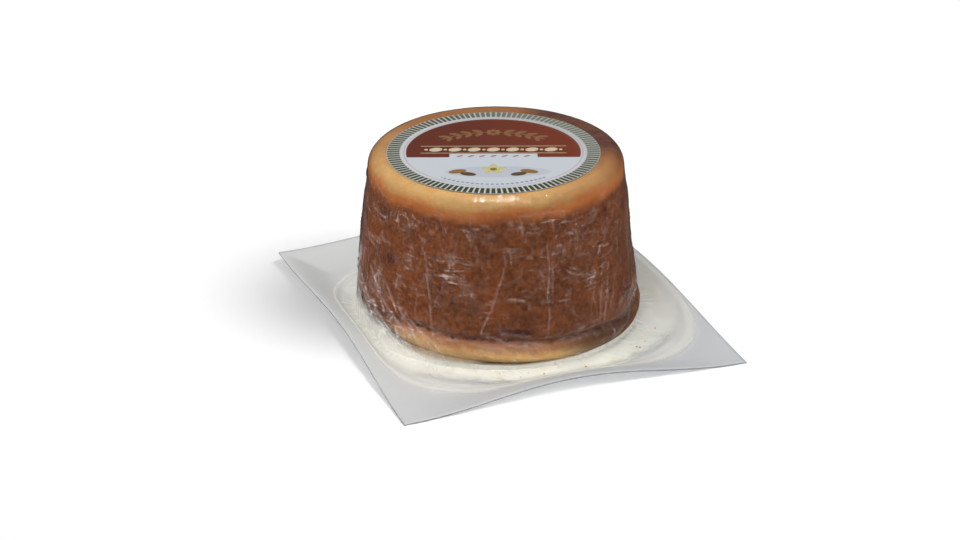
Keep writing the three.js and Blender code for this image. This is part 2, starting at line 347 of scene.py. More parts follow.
class RoundOutline:
    """The round without its relief, as a line of (radius, height) points that is read by the length
    along it: from the middle of the top over the shoulder and the side to the middle of the foot."""

    def __init__(self):
        sizes = pack().round
        quarter = np.linspace(math.pi / 2, 0, ARC_POINTS)
        shoulder = sizes.shoulder_radius
        side_top = ROUND_HEIGHT - shoulder
        top_arc = [
            (sizes.top_radius - shoulder * (1 - math.cos(a)), side_top + shoulder * math.sin(a))
            for a in quarter
        ]
        bevel = [
            (lerp(sizes.foot_radius, sizes.girth_radius, math.sin(a)), sizes.girth_height * (1 - math.cos(a)))
            for a in quarter
        ]
        self.points = np.array([(0, ROUND_HEIGHT), *top_arc, *bevel, (0, 0)])
        steps = np.hypot(*np.diff(self.points, axis=0).T)
        self.lengths = np.concatenate([[0], np.cumsum(steps)])
        self.total = self.lengths[-1]
        self.flat_top = sizes.top_radius - shoulder
        self.arc = self.lengths[ARC_POINTS] - self.flat_top

    def at(self, along):
        radius = np.interp(along, self.lengths, self.points[:, 0])
        height = np.interp(along, self.lengths, self.points[:, 1])
        return radius, height

    def normal(self, along, reach=0.6 * MM):
        radius_0, height_0 = self.at(along - reach)
        radius_1, height_1 = self.at(along + reach)
        out = np.stack([height_0 - height_1, radius_1 - radius_0], axis=1)
        return out / np.maximum(np.hypot(*out.T), 1e-9)[:, None]

    def where_height(self, height, lowest):
        """The length along the line where it comes down to a height, over the foot's flat."""
        falling = self.points[:, 1] < self.points[0, 1]
        on_side = falling & (self.points[:, 1] >= lowest)
        return np.interp(-height, -self.points[on_side, 1], self.lengths[on_side])


def middle_at(height):
    """Where the round's middle lies at heights over its foot."""
    girth_height = pack().round.girth_height
    below = np.clip(height / girth_height, 0, 1)[:, None]
    above = np.clip((height - girth_height) / (ROUND_HEIGHT - girth_height), 0, 1)[:, None]
    return FOOT_MIDDLE + below * (GIRTH_MIDDLE - FOOT_MIDDLE) + above * (TOP_MIDDLE - GIRTH_MIDDLE)


def fold_line(angle):
    """The fold's height over the foot, as it wanders round the side."""
    wander = sum(rise * np.sin(waves * angle + phase) for waves, rise, phase in FOLD_WAVES)
    return pack().round.fold_height + wander


def dent_relief(angle, height):
    sizes = pack().round
    draw = SeededDraw(sizes.dent_seed)
    relief = np.zeros_like(angle)
    for _ in range(sizes.dent_count):
        dent_angle = draw() * 2 * math.pi
        dent_height = lerp(sizes.girth_height, ROUND_HEIGHT, draw())
        width = lerp(*DENT_WIDTH, draw())
        depth = sizes.dent_depth * (2 * draw() - 1)
        across = turn_from(dent_angle, angle) * sizes.girth_radius
        up = (height - dent_height) * DENT_FLATNESS
        relief += depth * np.exp(-(across**2 + up**2) / (2 * width**2))
    return relief


def skin_relief(angle, height, groove_share=1.0):
    """What the baked skin adds to the side's radius."""
    sizes = pack().round
    above_fold = height - fold_line(angle)
    groove = -sizes.fold_depth * groove_share * np.exp(-((above_fold / sizes.fold_width) ** 2))
    over_fold = smoothstep(above_fold, 0, 2 * sizes.fold_width)
    over_fold *= 1 - smoothstep(above_fold, *OVERHANG_FADE)
    half = sizes.ledge_width / 2
    under_ledge = 1 - smoothstep(height, sizes.ledge_height - half, sizes.ledge_height + half)
    relief = groove + sizes.overhang * over_fold + sizes.ledge_step * under_ledge
    relief += dent_relief(angle, height)
    return relief * smoothstep(height, *SKIN_MARGIN) * smoothstep(ROUND_HEIGHT - height, *SKIN_MARGIN)


def curl_with_sheet(points):
    """Moves points that lie over the flat sheet as the sheet curls."""
    u = points[:, 0] / SHEET_HIGH.x
    v = points[:, 1] / SHEET_HIGH.y
    outwards = np.maximum(np.maximum(abs(u), abs(v)), 1e-9)
    across = abs(v) > abs(u)
    side = np.where(across, np.where(v < 0, 0, 2), np.where(u > 0, 1, 3))
    along = np.where(across, u, v) / outwards
    share = (1 + np.where(side >= 2, -along, along)) / 2
    bulge = np.sin(math.pi * share) ** 2
    rise = smoothstep(outwards, pack().sheet.rise_start, 1)
    curl = lerp(CORNER_CURLS[side], np.roll(CORNER_CURLS, -1)[side], share)
    inwards = -SIDE_BOW * bulge * rise
    shift_x = np.where(across, 0, np.sign(u) * inwards)
    shift_y = np.where(across, np.sign(v) * inwards, 0)
    return points + np.stack([shift_x, shift_y, rise * (curl + SIDE_ARCHES[side] * bulge)], axis=1)


# ------------------------------------------------------------------------------------------ modelling


def pack():
    return bpy.context.scene.ricotta_pack


def start_piece(name, add_primitive, **settings):
    """Adds a primitive as a new piece, and goes into its edit mode with all of it selected."""
    bpy.ops.object.select_all(action="DESELECT")
    add_primitive(**settings)
    piece = bpy.context.active_object
    piece.name = name
    piece.data.name = name
    bpy.ops.object.mode_set(mode="EDIT")
    bpy.ops.mesh.select_all(action="SELECT")
    return piece


def ringed_disc(name, rings, turns, levels, has_middle=True):
    """A flat disc with a ring of edges at each radius, and each point's angle and ring."""
    inwards = sorted(rings, reverse=True)
    piece = start_piece(name, bpy.ops.mesh.primitive_circle_add, vertices=turns, radius=inwards[0])
    for before, after in zip(inwards, inwards[1:]):
        bpy.ops.mesh.extrude_region_move()
        share = after / before
        bpy.ops.transform.resize(value=(share, share, 1), center_override=(0, 0, 0))
    if has_middle:
        bpy.ops.mesh.extrude_region_move()
        bpy.ops.mesh.merge(type="CENTER")
    bpy.ops.mesh.select_all(action="SELECT")
    bpy.ops.mesh.normals_make_consistent(inside=False)
    bpy.ops.object.mode_set(mode="OBJECT")
    apply_modifier(piece, "SUBSURF", subdivision_type="SIMPLE", levels=levels, render_levels=levels)
    points = read_points(piece)
    angle = np.arctan2(points[:, 1], points[:, 0])
    slice_angle = 2 * math.pi / turns
    off_middle = (angle % slice_angle) - slice_angle / 2
    flat = math.cos(slice_angle / 2)
    return piece, angle, np.hypot(points[:, 0], points[:, 1]) * np.cos(off_middle) / flat


def apply_modifier(piece, kind, **settings):
    bpy.context.view_layer.objects.active = piece
    modifier = piece.modifiers.new(kind.title(), kind)
    for key, value in settings.items():
        setattr(modifier, key, value)
    bpy.ops.object.modifier_apply(modifier=modifier.name)


def roughen(piece, size, strength, group):
    """Pushes a piece's surface in and out by a cloudy pattern."""
    clouds = bpy.data.textures.new("uneven surface", "CLOUDS")
    clouds.noise_scale = size
    clouds.noise_depth = 3
    apply_modifier(
        piece, "DISPLACE", texture=clouds, texture_coords="LOCAL", strength=strength, mid_level=0.5,
        vertex_group=group,
    )
    bpy.data.textures.remove(clouds)


def read_points(piece):
    points = np.empty(len(piece.data.vertices) * 3)
    piece.data.vertices.foreach_get("co", points)
    return points.reshape(-1, 3)


def write_points(piece, points):
    piece.data.vertices.foreach_set("co", np.ascontiguousarray(points).ravel())
    piece.data.update()


def write_attributes(piece, **attributes):
    """Stores numbers at each point, which the piece's material reads by their names."""
    for name, values in attributes.items():
        attribute = piece.data.attributes.new(name, "FLOAT", "POINT")
        attribute.data.foreach_set("value", np.asarray(values, dtype=np.float32))


def tidy_surface(piece, merge=0.0):
    """Merges points that fell together, points the faces outwards and shades them smooth."""
    bpy.ops.object.select_all(action="DESELECT")
    piece.select_set(True)
    bpy.context.view_layer.objects.active = piece
    bpy.ops.object.mode_set(mode="EDIT")
    bpy.ops.mesh.select_all(action="SELECT")
    if merge:
        bpy.ops.mesh.remove_doubles(threshold=merge)
    bpy.ops.mesh.normals_make_consistent(inside=False)
    bpy.ops.object.mode_set(mode="OBJECT")
    bpy.ops.object.shade_smooth()


def dress(piece, slot, *materials, stands_for=()):
    """Gives a piece its materials, hangs it on the root and hides the parts it stands for."""
    piece.data.materials.clear()
    for material in materials:
        piece.data.materials.append(material)
    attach(piece, "root")
    if stands_for:
        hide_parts(*stands_for)


def stations(*stretches):
    """Places along a line: each stretch is its length and how many places share it evenly."""
    places = []
    start = 0.0
    for stretch, place_count in stretches:
        places += [start + stretch * (i + 1) / place_count for i in range(place_count)]
        start += stretch
    return places


# ----------------------------------------------------------------------------------------- node trees


class Tree:
    """Adds nodes to a node tree and joins them up."""

    def __init__(self, tree):
        self.tree = tree
        tree.nodes.clear()

    def feed(self, socket, value):
        if isinstance(value, bpy.types.NodeSocket):
            self.tree.links.new(value, socket)
        elif value is not None:
            is_colour = socket.type == "RGBA" and len(value) == 3
            socket.default_value = (*value, 1) if is_colour else value

    def node(self, kind, inputs=None, **settings):
        made = self.tree.nodes.new("ShaderNode" + kind)
        for key, value in settings.items():
            setattr(made, key, value)
        for key, value in (inputs or {}).items():
            self.feed(made.inputs[key], value)
        return made

    def math(self, operation, *values, clamp=False):
        made = self.node("Math", operation=operation, use_clamp=clamp)
        for socket, value in zip(made.inputs, values):
            self.feed(socket, value)
        return made.outputs[0]

    def add(self, a, b, clamp=False):
        return self.math("ADD", a, b, clamp=clamp)

    def sub(self, a, b):
        return self.math("SUBTRACT", a, b)

    def mul(self, a, b):
        return self.math("MULTIPLY", a, b)

    def off_half(self, value, reach):
        """How far a mask is from its middle, times a reach."""
        return self.mul(self.sub(value, 0.5), reach)

    def fade(self, value, low, high, out_low=0.0, out_high=1.0):
        """Turns smoothly from one number to another as value goes from low to high."""
        inputs = {"Value": value, "From Min": low, "From Max": high, "To Min": out_low, "To Max": out_high}
        return self.node("MapRange", inputs, interpolation_type="SMOOTHSTEP").outputs[0]

    def mix(self, share, a, b, blend="MIX"):
        made = self.node("Mix", data_type="RGBA", blend_type=blend)
        for index, value in zip((0, 6, 7), (share, a, b)):
            self.feed(made.inputs[index], value)
        return made.outputs[2]

    def dab(self, mask, share, colour, dabbed):
        """A colour with another laid over it by a share of a mask."""
        return self.mix(self.mul(mask, share), colour, dabbed)

    def scaled(self, vector, *parts):
        """A vector with its parts multiplied, to draw a pattern out."""
        return self.node("VectorMath", {0: vector, 1: parts}, operation="MULTIPLY").outputs[0]

    def noise(self, vector, scale, detail=3.0, roughness=0.55, distortion=0.0):
        inputs = {
            "Vector": vector, "Scale": scale, "Detail": detail, "Roughness": roughness,
            "Distortion": distortion,
        }
        return self.node("TexNoise", inputs).outputs[0]

    def attribute(self, name):
        return self.node("Attribute", attribute_name=name).outputs["Fac"]

    def split(self, vector):
        return self.node("SeparateXYZ", {0: vector}).outputs

    def bump(self, height, strength, distance, normal=None):
        inputs = {"Height": height, "Strength": strength, "Distance": distance, "Normal": normal}
        return self.node("Bump", inputs).outputs[0]

    def principled(self, **values):
        inputs = {key.replace("_", " ").title().replace("Ior", "IOR"): v for key, v in values.items()}
        return self.node("BsdfPrincipled", inputs).outputs[0]

    def over_clear(self, cover, shader):
        """A shader that covers this share of what is behind it."""
        clear = self.node("BsdfTransparent").outputs[0]
        return self.node("MixShader", {0: cover, 1: clear, 2: shader}).outputs[0]

    def group(self, group, output, **inputs):
        made = self.node("Group", node_tree=group)
        for key, value in inputs.items():
            self.feed(made.inputs[key], value)
        return made.outputs[output]

    def patches(self, place, size, cover, softness):
        return self.group(patches_group(), "Mask", Place=place, Size=size, Cover=cover, Softness=softness)

    def crinkles(self, place, size, sharpness):
        return self.group(crinkles_group(), "Height", Place=place, Size=size, Sharpness=sharpness)


class MaterialTree(Tree):
    """A new material's tree, with the piece's own place in millimetres."""

    def __init__(self, name):
        self.material = bpy.data.materials.new(name)
        self.material.use_nodes = True
        super().__init__(self.material.node_tree)
        self.own_place = self.node("TexCoord").outputs["Object"]
        self.place = self.scaled(self.own_place, 1 / MM, 1 / MM, 1 / MM)

    def let_light_through(self, shader, share):
        """Clear plastic: this share of the light from lamps reaches what is behind it."""
        passing = self.node("BsdfTransparent", {"Color": (share,) * 3}).outputs[0]
        from_lamp = self.node("LightPath").outputs["Is Shadow Ray"]
        return self.node("MixShader", {0: from_lamp, 1: shader, 2: passing}).outputs[0]

    def finish(self, shader):
        self.node("OutputMaterial", {"Surface": shader})
        return self.material


def shared_group(name, inputs, output, fill):
    """A node group that all materials share: made and filled on its first use."""
    group = bpy.data.node_groups.get(name)
    if group is None:
        group = bpy.data.node_groups.new(name, "ShaderNodeTree")
        for socket_name in inputs:
            kind = "NodeSocketVector" if socket_name == "Place" else "NodeSocketFloat"
            group.interface.new_socket(name=socket_name, in_out="INPUT", socket_type=kind)
        group.interface.new_socket(name=output, in_out="OUTPUT", socket_type="NodeSocketFloat")
        tree = Tree(group)
        source = group.nodes.new("NodeGroupInput").outputs
        sink = group.nodes.new("NodeGroupOutput").inputs
        tree.feed(sink[output], fill(tree, *(source[socket_name] for socket_name in inputs)))
    return group


def patches_group():
    """Cloudy patches: a mask from 0 to 1 with soft edges, at a size in millimetres."""

    def fill(tree, place, size, cover, softness):
        cloud = tree.noise(place, tree.math("DIVIDE", 1.0, size), detail=5.0, roughness=0.6)
        edge = tree.sub(1.0, cover)
        return tree.fade(cloud, tree.sub(edge, softness), tree.add(edge, softness))

    return shared_group("cloudy patches", ("Place", "Size", "Cover", "Softness"), "Mask", fill)


def crinkles_group():
    """Fine crinkles of thin plastic: a height from 0 to 1, with sharp ridges and soft waves."""

    def fill(tree, place, size, sharpness):
        scale = tree.math("DIVIDE", 1.0, size)
        wave = tree.noise(place, scale, detail=3.0, roughness=0.5, distortion=0.4)
        off_middle = tree.math("ABSOLUTE", tree.sub(wave, 0.5))
        return tree.math("POWER", tree.sub(1.0, tree.mul(off_middle, 2.0)), sharpness)

    return shared_group("plastic crinkles", ("Place", "Size", "Sharpness"), "Height", fill)


# ------------------------------------------------------------------------------------------ materials


def baked_skin_material(colours):
    t = MaterialTree("baked skin")

    def patch(size, cover, softness, stretch=(1, 1, 1), offset=0.0):
        moved = t.node("VectorMath", {0: t.scaled(t.place, *stretch), 1: (offset,) * 3}, operation="ADD")
        return t.patches(moved.outputs[0], size, cover, softness)

    broad = patch(24, 0.5, 0.2)
    middling = patch(8, 0.48, 0.16, offset=31.0)
    fine = patch(2.6, 0.5, 0.22, offset=57.0)
    streaks = patch(6, 0.44, 0.16, stretch=(1, 1, 0.35), offset=83.0)
    bands = patch(7, 0.45, 0.16, stretch=(0.6, 0.6, 1.7), offset=119.0)
    grains = patch(2.2, 0.46, 0.12, stretch=(1, 1, 0.8), offset=143.0)
    specks = patch(3.2, 0.34, 0.08, offset=171.0)

    # The brown side, mottled from deep brown to orange, with spots baked more or less.
    side = t.dab(broad, 0.75, colours.crust_brown, colours.crust_deep)
    side = t.dab(streaks, 0.45, side, colours.crust_orange)
    side = t.dab(bands, 0.58, side, colours.crust_deep)
    side = t.dab(middling, 0.35, side, colours.crust_olive)
    side = t.dab(fine, 0.24, side, colours.rim_orange)
    side = t.dab(grains, 0.55, side, colours.crust_deep)
    side = t.dab(specks, 0.22, side, colours.foot_pink)
    spots = t.add(t.attribute("spots"), t.off_half(fine, 0.3))
    side = t.mix(t.fade(spots, 0.1, 1.0, 0.0, 0.85), side, colours.crust_orange)
    side = t.mix(t.fade(spots, -1.0, -0.1, 0.85, 0.0), side, colours.crust_plum)

    # The shoulder bakes paler: gold, then orange where it runs into the brown side.
    wander = t.add(t.off_half(middling, 1.4), t.off_half(broad, 3.0))
    # The baked share darkens the right and the back: partly baked more, partly painted shade.
    baked = t.attribute("baked")
    level = t.sub(t.add(t.split(t.place)[2], wander), t.mul(baked, 1.5))
    gold = t.dab(baked, 0.85, colours.rim_gold, colours.rim_brown)
    rim = t.mix(t.fade(level, 75.5, 81.0), colours.rim_orange, gold)
    rim = t.dab(fine, 0.24, rim, colours.rim_orange)
    rim = t.dab(middling, 0.16, rim, colours.rim_brown)
    side = t.dab(baked, 0.25, side, colours.crust_deep)
    skin = t.mix(t.fade(level, 70.0, 76.6), side, rim)

    # One side of the rim is burnt.
    burn = t.mul(t.attribute("burnt"), t.fade(middling, 0.0, 1.0, 0.75, 0.95))
    skin = t.mix(burn, skin, colours.burnt)

    # Under the fold the foot is pale in front and darker at the sides, the darker sides partly painted shade;
    # the fold itself is dark.
    above = t.add(t.attribute("above_fold"), t.off_half(fine, 1.3))
    above = t.add(above, t.off_half(middling, 1.2))
    foot = t.mix(t.fade(above, -8.0, -1.5), colours.foot_gold, colours.foot_pink)
    foot = t.dab(middling, 0.25, foot, colours.rim_orange)
    dark_foot = t.mix(middling, colours.crust_plum, colours.crust_olive)
    foot = t.mix(t.fade(t.attribute("pale_foot"), 0.1, 0.8, 0.95, 0.0), foot, dark_foot)
    skin = t.mix(t.fade(above, -1.2, 1.0), foot, skin)
    in_fold = t.mul(t.fade(above, -1.6, 0.0), t.fade(above, 0.4, 2.2, 1.0, 0.0))
    in_fold = t.mul(in_fold, t.fade(bands, 0.0, 1.0, 0.35, 0.95))
    skin = t.mix(in_fold, skin, colours.crust_plum)

    normal = t.bump(t.noise(t.place, 0.32), 0.5, 0.5 * MM)
    normal = t.bump(t.noise(t.place, 1.3, detail=4.0, roughness=0.6), 0.35, 0.18 * MM, normal)
    roughness = t.fade(fine, 0.0, 1.0, 0.62, 0.78)
    crust = t.principled(base_color=skin, roughness=roughness, specular_ior_level=0.12, normal=normal)
    return t.finish(crust)


def film_material():
    """Clear film: it shows what is under it, with a haze where it is crumpled and a hard gloss."""
    t = MaterialTree("skin film")
    puckered = t.attribute("puckered")
    milky = t.attribute("milky")
    small = t.mul(t.crinkles(t.place, 1.8, 2.5), t.fade(puckered, 0.0, 1.0, 0.1, 1.0))
    normal = t.bump(t.crinkles(t.scaled(t.place, 1, 1, 0.32), 6.0, 5.0), 0.4, 0.25 * MM)
    normal = t.bump(t.crinkles(t.scaled(t.place, 0.5, 0.5, 1.6), 5.0, 5.0), 0.35, 0.2 * MM, normal)
    normal = t.bump(small, 0.4, 0.25 * MM, normal)

    spots = t.patches(t.place, 3.4, 0.38, 0.08)
    flecks = t.patches(t.place, 1.3, 0.36, 0.08)
    fog = t.patches(t.place, 8.0, 0.42, 0.12)
    wisps = t.patches(t.scaled(t.place, 0.35, 0.35, 2.2), 2.8, 0.36, 0.08)
    veil = t.add(t.add(t.mul(fog, 0.1), t.mul(flecks, 0.18)), t.add(t.mul(wisps, 0.3), t.mul(spots, 0.25)))
    haze = t.mul(veil, t.attribute("hazy"))
    haze = t.add(haze, t.mul(t.attribute("crease"), t.fade(spots, 0.0, 1.0, 0.3, 0.6)))
    haze = t.add(haze, milky)

    # Where the film is puckered, its sharpest folds get white flecks: painted glints.
    folds = t.patches(t.scaled(t.place, 0.6, 0.6, 1.2), 1.7, 0.36, 0.03)
    folds = t.mul(folds, t.fade(puckered, 0.6, 1.0))
    haze = t.add(haze, t.mul(folds, 0.85), clamp=True)

    tone = t.mix(t.fade(milky, 0.0, 0.06), srgb(212, 188, 180), srgb(234, 232, 224))
    tone = t.mix(folds, tone, srgb(252, 252, 250))
    body = t.over_clear(haze, t.principled(base_color=tone, roughness=0.4, specular_ior_level=0.1))
    gloss = t.node("BsdfGlossy", {"Roughness": 0.08, "Normal": normal}).outputs[0]
    mirror = t.node("Fresnel", {"IOR": 1.3, "Normal": normal}).outputs[0]
    mirror = t.mul(mirror, t.fade(milky, 0.0, 0.6, 1.0, 0.4))
    film = t.node("MixShader", {0: mirror, 1: body, 2: gloss}).outputs[0]
    return t.finish(t.let_light_through(film, 1.0))


def whey_material(colours):
    t = MaterialTree("whey")
    curds = t.patches(t.place, 8.0, 0.4, 0.18)
    flecks = t.patches(t.place, 2.2, 0.36, 0.14)
    thin = t.patches(t.place, 5.0, 0.36, 0.1)
    far = t.fade(t.split(t.place)[0], 15.0, 80.0)
    colour = t.dab(curds, 0.6, colours.whey, colours.whey_yellow)
    colour = t.dab(t.patches(t.place, 18.0, 0.5, 0.2), 0.4, colour, srgb(228, 229, 226))
    colour = t.dab(flecks, 0.2, colour, srgb(242, 240, 226))
    colour = t.dab(thin, 0.14, colour, colours.thin_whey_and_shade)
    colour = t.dab(far, 0.6, colour, srgb(204, 207, 204))
    # Painted shade where the whey meets the round's foot.
    shade = t.mul(t.attribute("by_round"), t.fade(flecks, 0.0, 1.0, 1.0, 0.5))
    colour = t.mix(shade, colour, colours.thin_whey_and_shade)
    edge = t.add(t.attribute("rim"), t.off_half(curds, 0.3))
    edge = t.add(edge, t.mul(thin, 0.12))
    normal = t.bump(t.noise(t.place, 0.35), 0.4, 0.4 * MM)
    milk = t.principled(base_color=colour, roughness=0.4, specular_ior_level=0.25, normal=normal)
    whey = t.over_clear(t.fade(edge, 0.0, 1.0, 0.94, 0.0), milk)
    return t.finish(t.let_light_through(whey, 1.0))


def sheet_material(colours):
    t = MaterialTree("base sheet")
    tone = t.patches(t.place, 45.0, 0.5, 0.25)
    scuffs = t.patches(t.place, 7.0, 0.32, 0.08)
    x, y, _ = t.split(t.place)
    # Painted light: the sheet is lighter on its left, where the round shades it, and darker to the right and
    # front.
    right_front_share = t.fade(t.sub(t.add(x, t.mul(tone, 20.0)), t.mul(y, 0.8)), -85.0, 85.0)
    colour = t.mix(right_front_share, colours.sheet, colours.sheet_right_front)
    colour = t.dab(scuffs, 0.14, colour, srgb(208, 208, 206))
    colour = t.dab(t.attribute("weld"), 0.3, colour, srgb(214, 213, 208))
    normal = t.bump(t.noise(t.place, 0.05, detail=2.0), 0.25, 1.4 * MM)
    normal = t.bump(t.crinkles(t.place, 6.0, 3.0), 0.15, 0.12 * MM, normal)
    plastic = t.principled(base_color=colour, roughness=0.25, specular_ior_level=0.2, normal=normal)
    return t.finish(t.let_light_through(t.over_clear(0.86, plastic), 0.4))


def shaded_edge_material():
    t = MaterialTree("cut edge")
    # Painted shade: the cut edge is dark grey so that it shows as a dark line along the sheet.
    colour = t.mix(t.noise(t.place, 0.2, detail=2.0), srgb(118, 120, 122), srgb(150, 152, 154))
    return t.finish(t.principled(base_color=colour, roughness=0.4))


def crumb_material(colours):
    t = MaterialTree("crumbs")
    colour = t.mix(t.noise(t.place, 0.6), colours.crust_deep, colours.rim_orange)
    normal = t.bump(t.noise(t.place, 2.5), 0.5, 0.1 * MM)
    return t.finish(t.principled(base_color=colour, roughness=0.6, normal=normal))


def floor_material():
    t = MaterialTree("pale floor")
    colour = t.mix(t.noise(t.place, 0.004, detail=1.0), (0.95,) * 3, (0.96,) * 3)
    return t.finish(t.principled(base_color=colour, roughness=0.9, specular_ior_level=0.0))


class LabelPrint(MaterialTree):
    """The label's print, in millimetres from the label's middle: u to the right, v up the print."""

    RAY_COUNT = 116

    def __init__(self):
        super().__init__("label print")
        middle = (LABEL_MIDDLE.x, LABEL_MIDDLE.y, 0)
        off = self.node("VectorMath", {0: self.own_place, 1: middle}, operation="SUBTRACT").outputs[0]
        inputs = {"Vector": off, "Rotation": (0, 0, PRINT_TURN), "Scale": (1 / MM,) * 3}
        self.u, self.v, _ = self.split(self.node("Mapping", inputs).outputs[0])
        self.side = self.math("ABSOLUTE", self.u)
        self.radius, self.angle = self.polar(0.0)

    def polar(self, v):
        """The distance and the turn of each place about the point at this height on the middle line."""
        up = self.sub(self.v, v)
        radius = self.math("SQRT", self.add(self.mul(self.u, self.u), self.mul(up, up)))
        return radius, self.math("ARCTAN2", up, self.u)

    def below(self, value, limit, soft):
        return self.fade(value, limit - soft, limit + soft, 1.0, 0.0)

    def between(self, value, low, high, soft=0.25):
        return self.mul(self.fade(value, low - soft, low + soft), self.below(value, high, soft))

    def wrapped(self, value, pitch):
        """How far value is from the nearest multiple of pitch."""
        return self.math("WRAP", value, pitch / 2, -pitch / 2)

    def dashed(self, value, pitch, half_width, soft):
        return self.below(self.math("ABSOLUTE", self.wrapped(value, pitch)), half_width, soft)

    def oval(self, across, up, half_width, half_height, turn=0.0):
        cos, sin = math.cos(turn), math.sin(turn)
        a = self.math("DIVIDE", self.add(self.mul(across, cos), self.mul(up, sin)), half_width)
        b = self.math("DIVIDE", self.sub(self.mul(up, cos), self.mul(across, sin)), half_height)
        return self.below(self.add(self.mul(a, a), self.mul(b, b)), 1.0, 0.12)

    def either(self, *masks):
        whole = masks[0]
        for mask in masks[1:]:
            whole = self.math("MAXIMUM", whole, mask)
        return whole

    def rays(self):
        turn = self.mul(self.angle, self.RAY_COUNT / (2 * math.pi))
        return self.mul(self.dashed(turn, 1.0, 0.34, 0.06), self.between(self.radius, 43.9, 49.8))

    def row(self):
        """A row of almonds and dots across the field, between two rules."""
        pitch = 9.0
        up = self.sub(self.v, 2.4)
        almond = self.oval(self.wrapped(self.u, pitch), up, 3.1, 2.3, 0.35)
        dot = self.oval(self.wrapped(self.add(self.u, pitch / 2), pitch), up, 0.8, 1.0)
        motifs = self.mul(self.either(almond, dot), self.below(self.side, 32.5, 0.1))
        rule = self.between(self.math("ABSOLUTE", up), 4.0, 4.5, 0.15)
        return self.either(motifs, self.mul(rule, self.below(self.side, 34.0, 0.2)))

    def garland(self):
        """Leaves along an arc over the row, with a stem."""
        centre_v = -14.0
        arc_radius = 38.0
        turn = self.math("ARCTAN2", self.side, self.sub(self.v, centre_v))
        along = self.mul(turn, arc_radius)
        off = self.sub(self.polar(centre_v)[0], arc_radius)
        spaced = self.wrapped(self.sub(along, 1.9), 5.4)
        upper = self.oval(spaced, self.sub(off, 2.2), 2.6, 1.25, 0.7)
        lower = self.oval(spaced, self.add(off, 2.2), 2.6, 1.25, -0.7)
        stem = self.below(self.math("ABSOLUTE", off), 0.45, 0.15)
        return self.mul(self.either(upper, lower, stem), self.between(along, 4.6, 26.2, 0.2))

    def rosette(self):
        """A rosette at the middle of the garland."""
        from_middle, turn = self.polar(24.0)
        petals = self.mul(self.math("COSINE", self.mul(turn, 8.0)), 0.6)
        return self.between(self.sub(from_middle, petals), 1.1, 3.4, 0.2)

    def almonds(self):
        """Almonds that lean together on both sides of the blossom."""
        outer = self.oval(self.sub(self.side, 16.5), self.add(self.v, 24.0), 4.3, 2.3, -0.35)
        inner = self.oval(self.sub(self.side, 11.6), self.add(self.v, 27.0), 3.8, 2.1, 0.3)
        return outer, inner

    def blossom(self):
        """A pale yellow blossom of five petals, and its heart."""
        from_middle, turn = self.polar(-21.4)
        swell = self.mul(self.math("COSINE", self.mul(self.sub(turn, math.pi / 2), 5.0)), 1.5)
        petals = self.below(self.sub(from_middle, swell), 4.75, 0.25)
        return petals, self.below(from_middle, 1.65, 0.15)

    def dashes(self):
        """Small dashes along the foot of the field."""
        dash = self.dashed(self.mul(self.angle, 39.2), 2.3, 0.72, 0.1)
        ring = self.between(self.radius, 38.5, 39.9, 0.12)
        low = self.mul(self.below(self.side, 23.8, 0.2), self.below(self.v, -19.5, 0.5))
        return self.mul(self.mul(dash, ring), low)


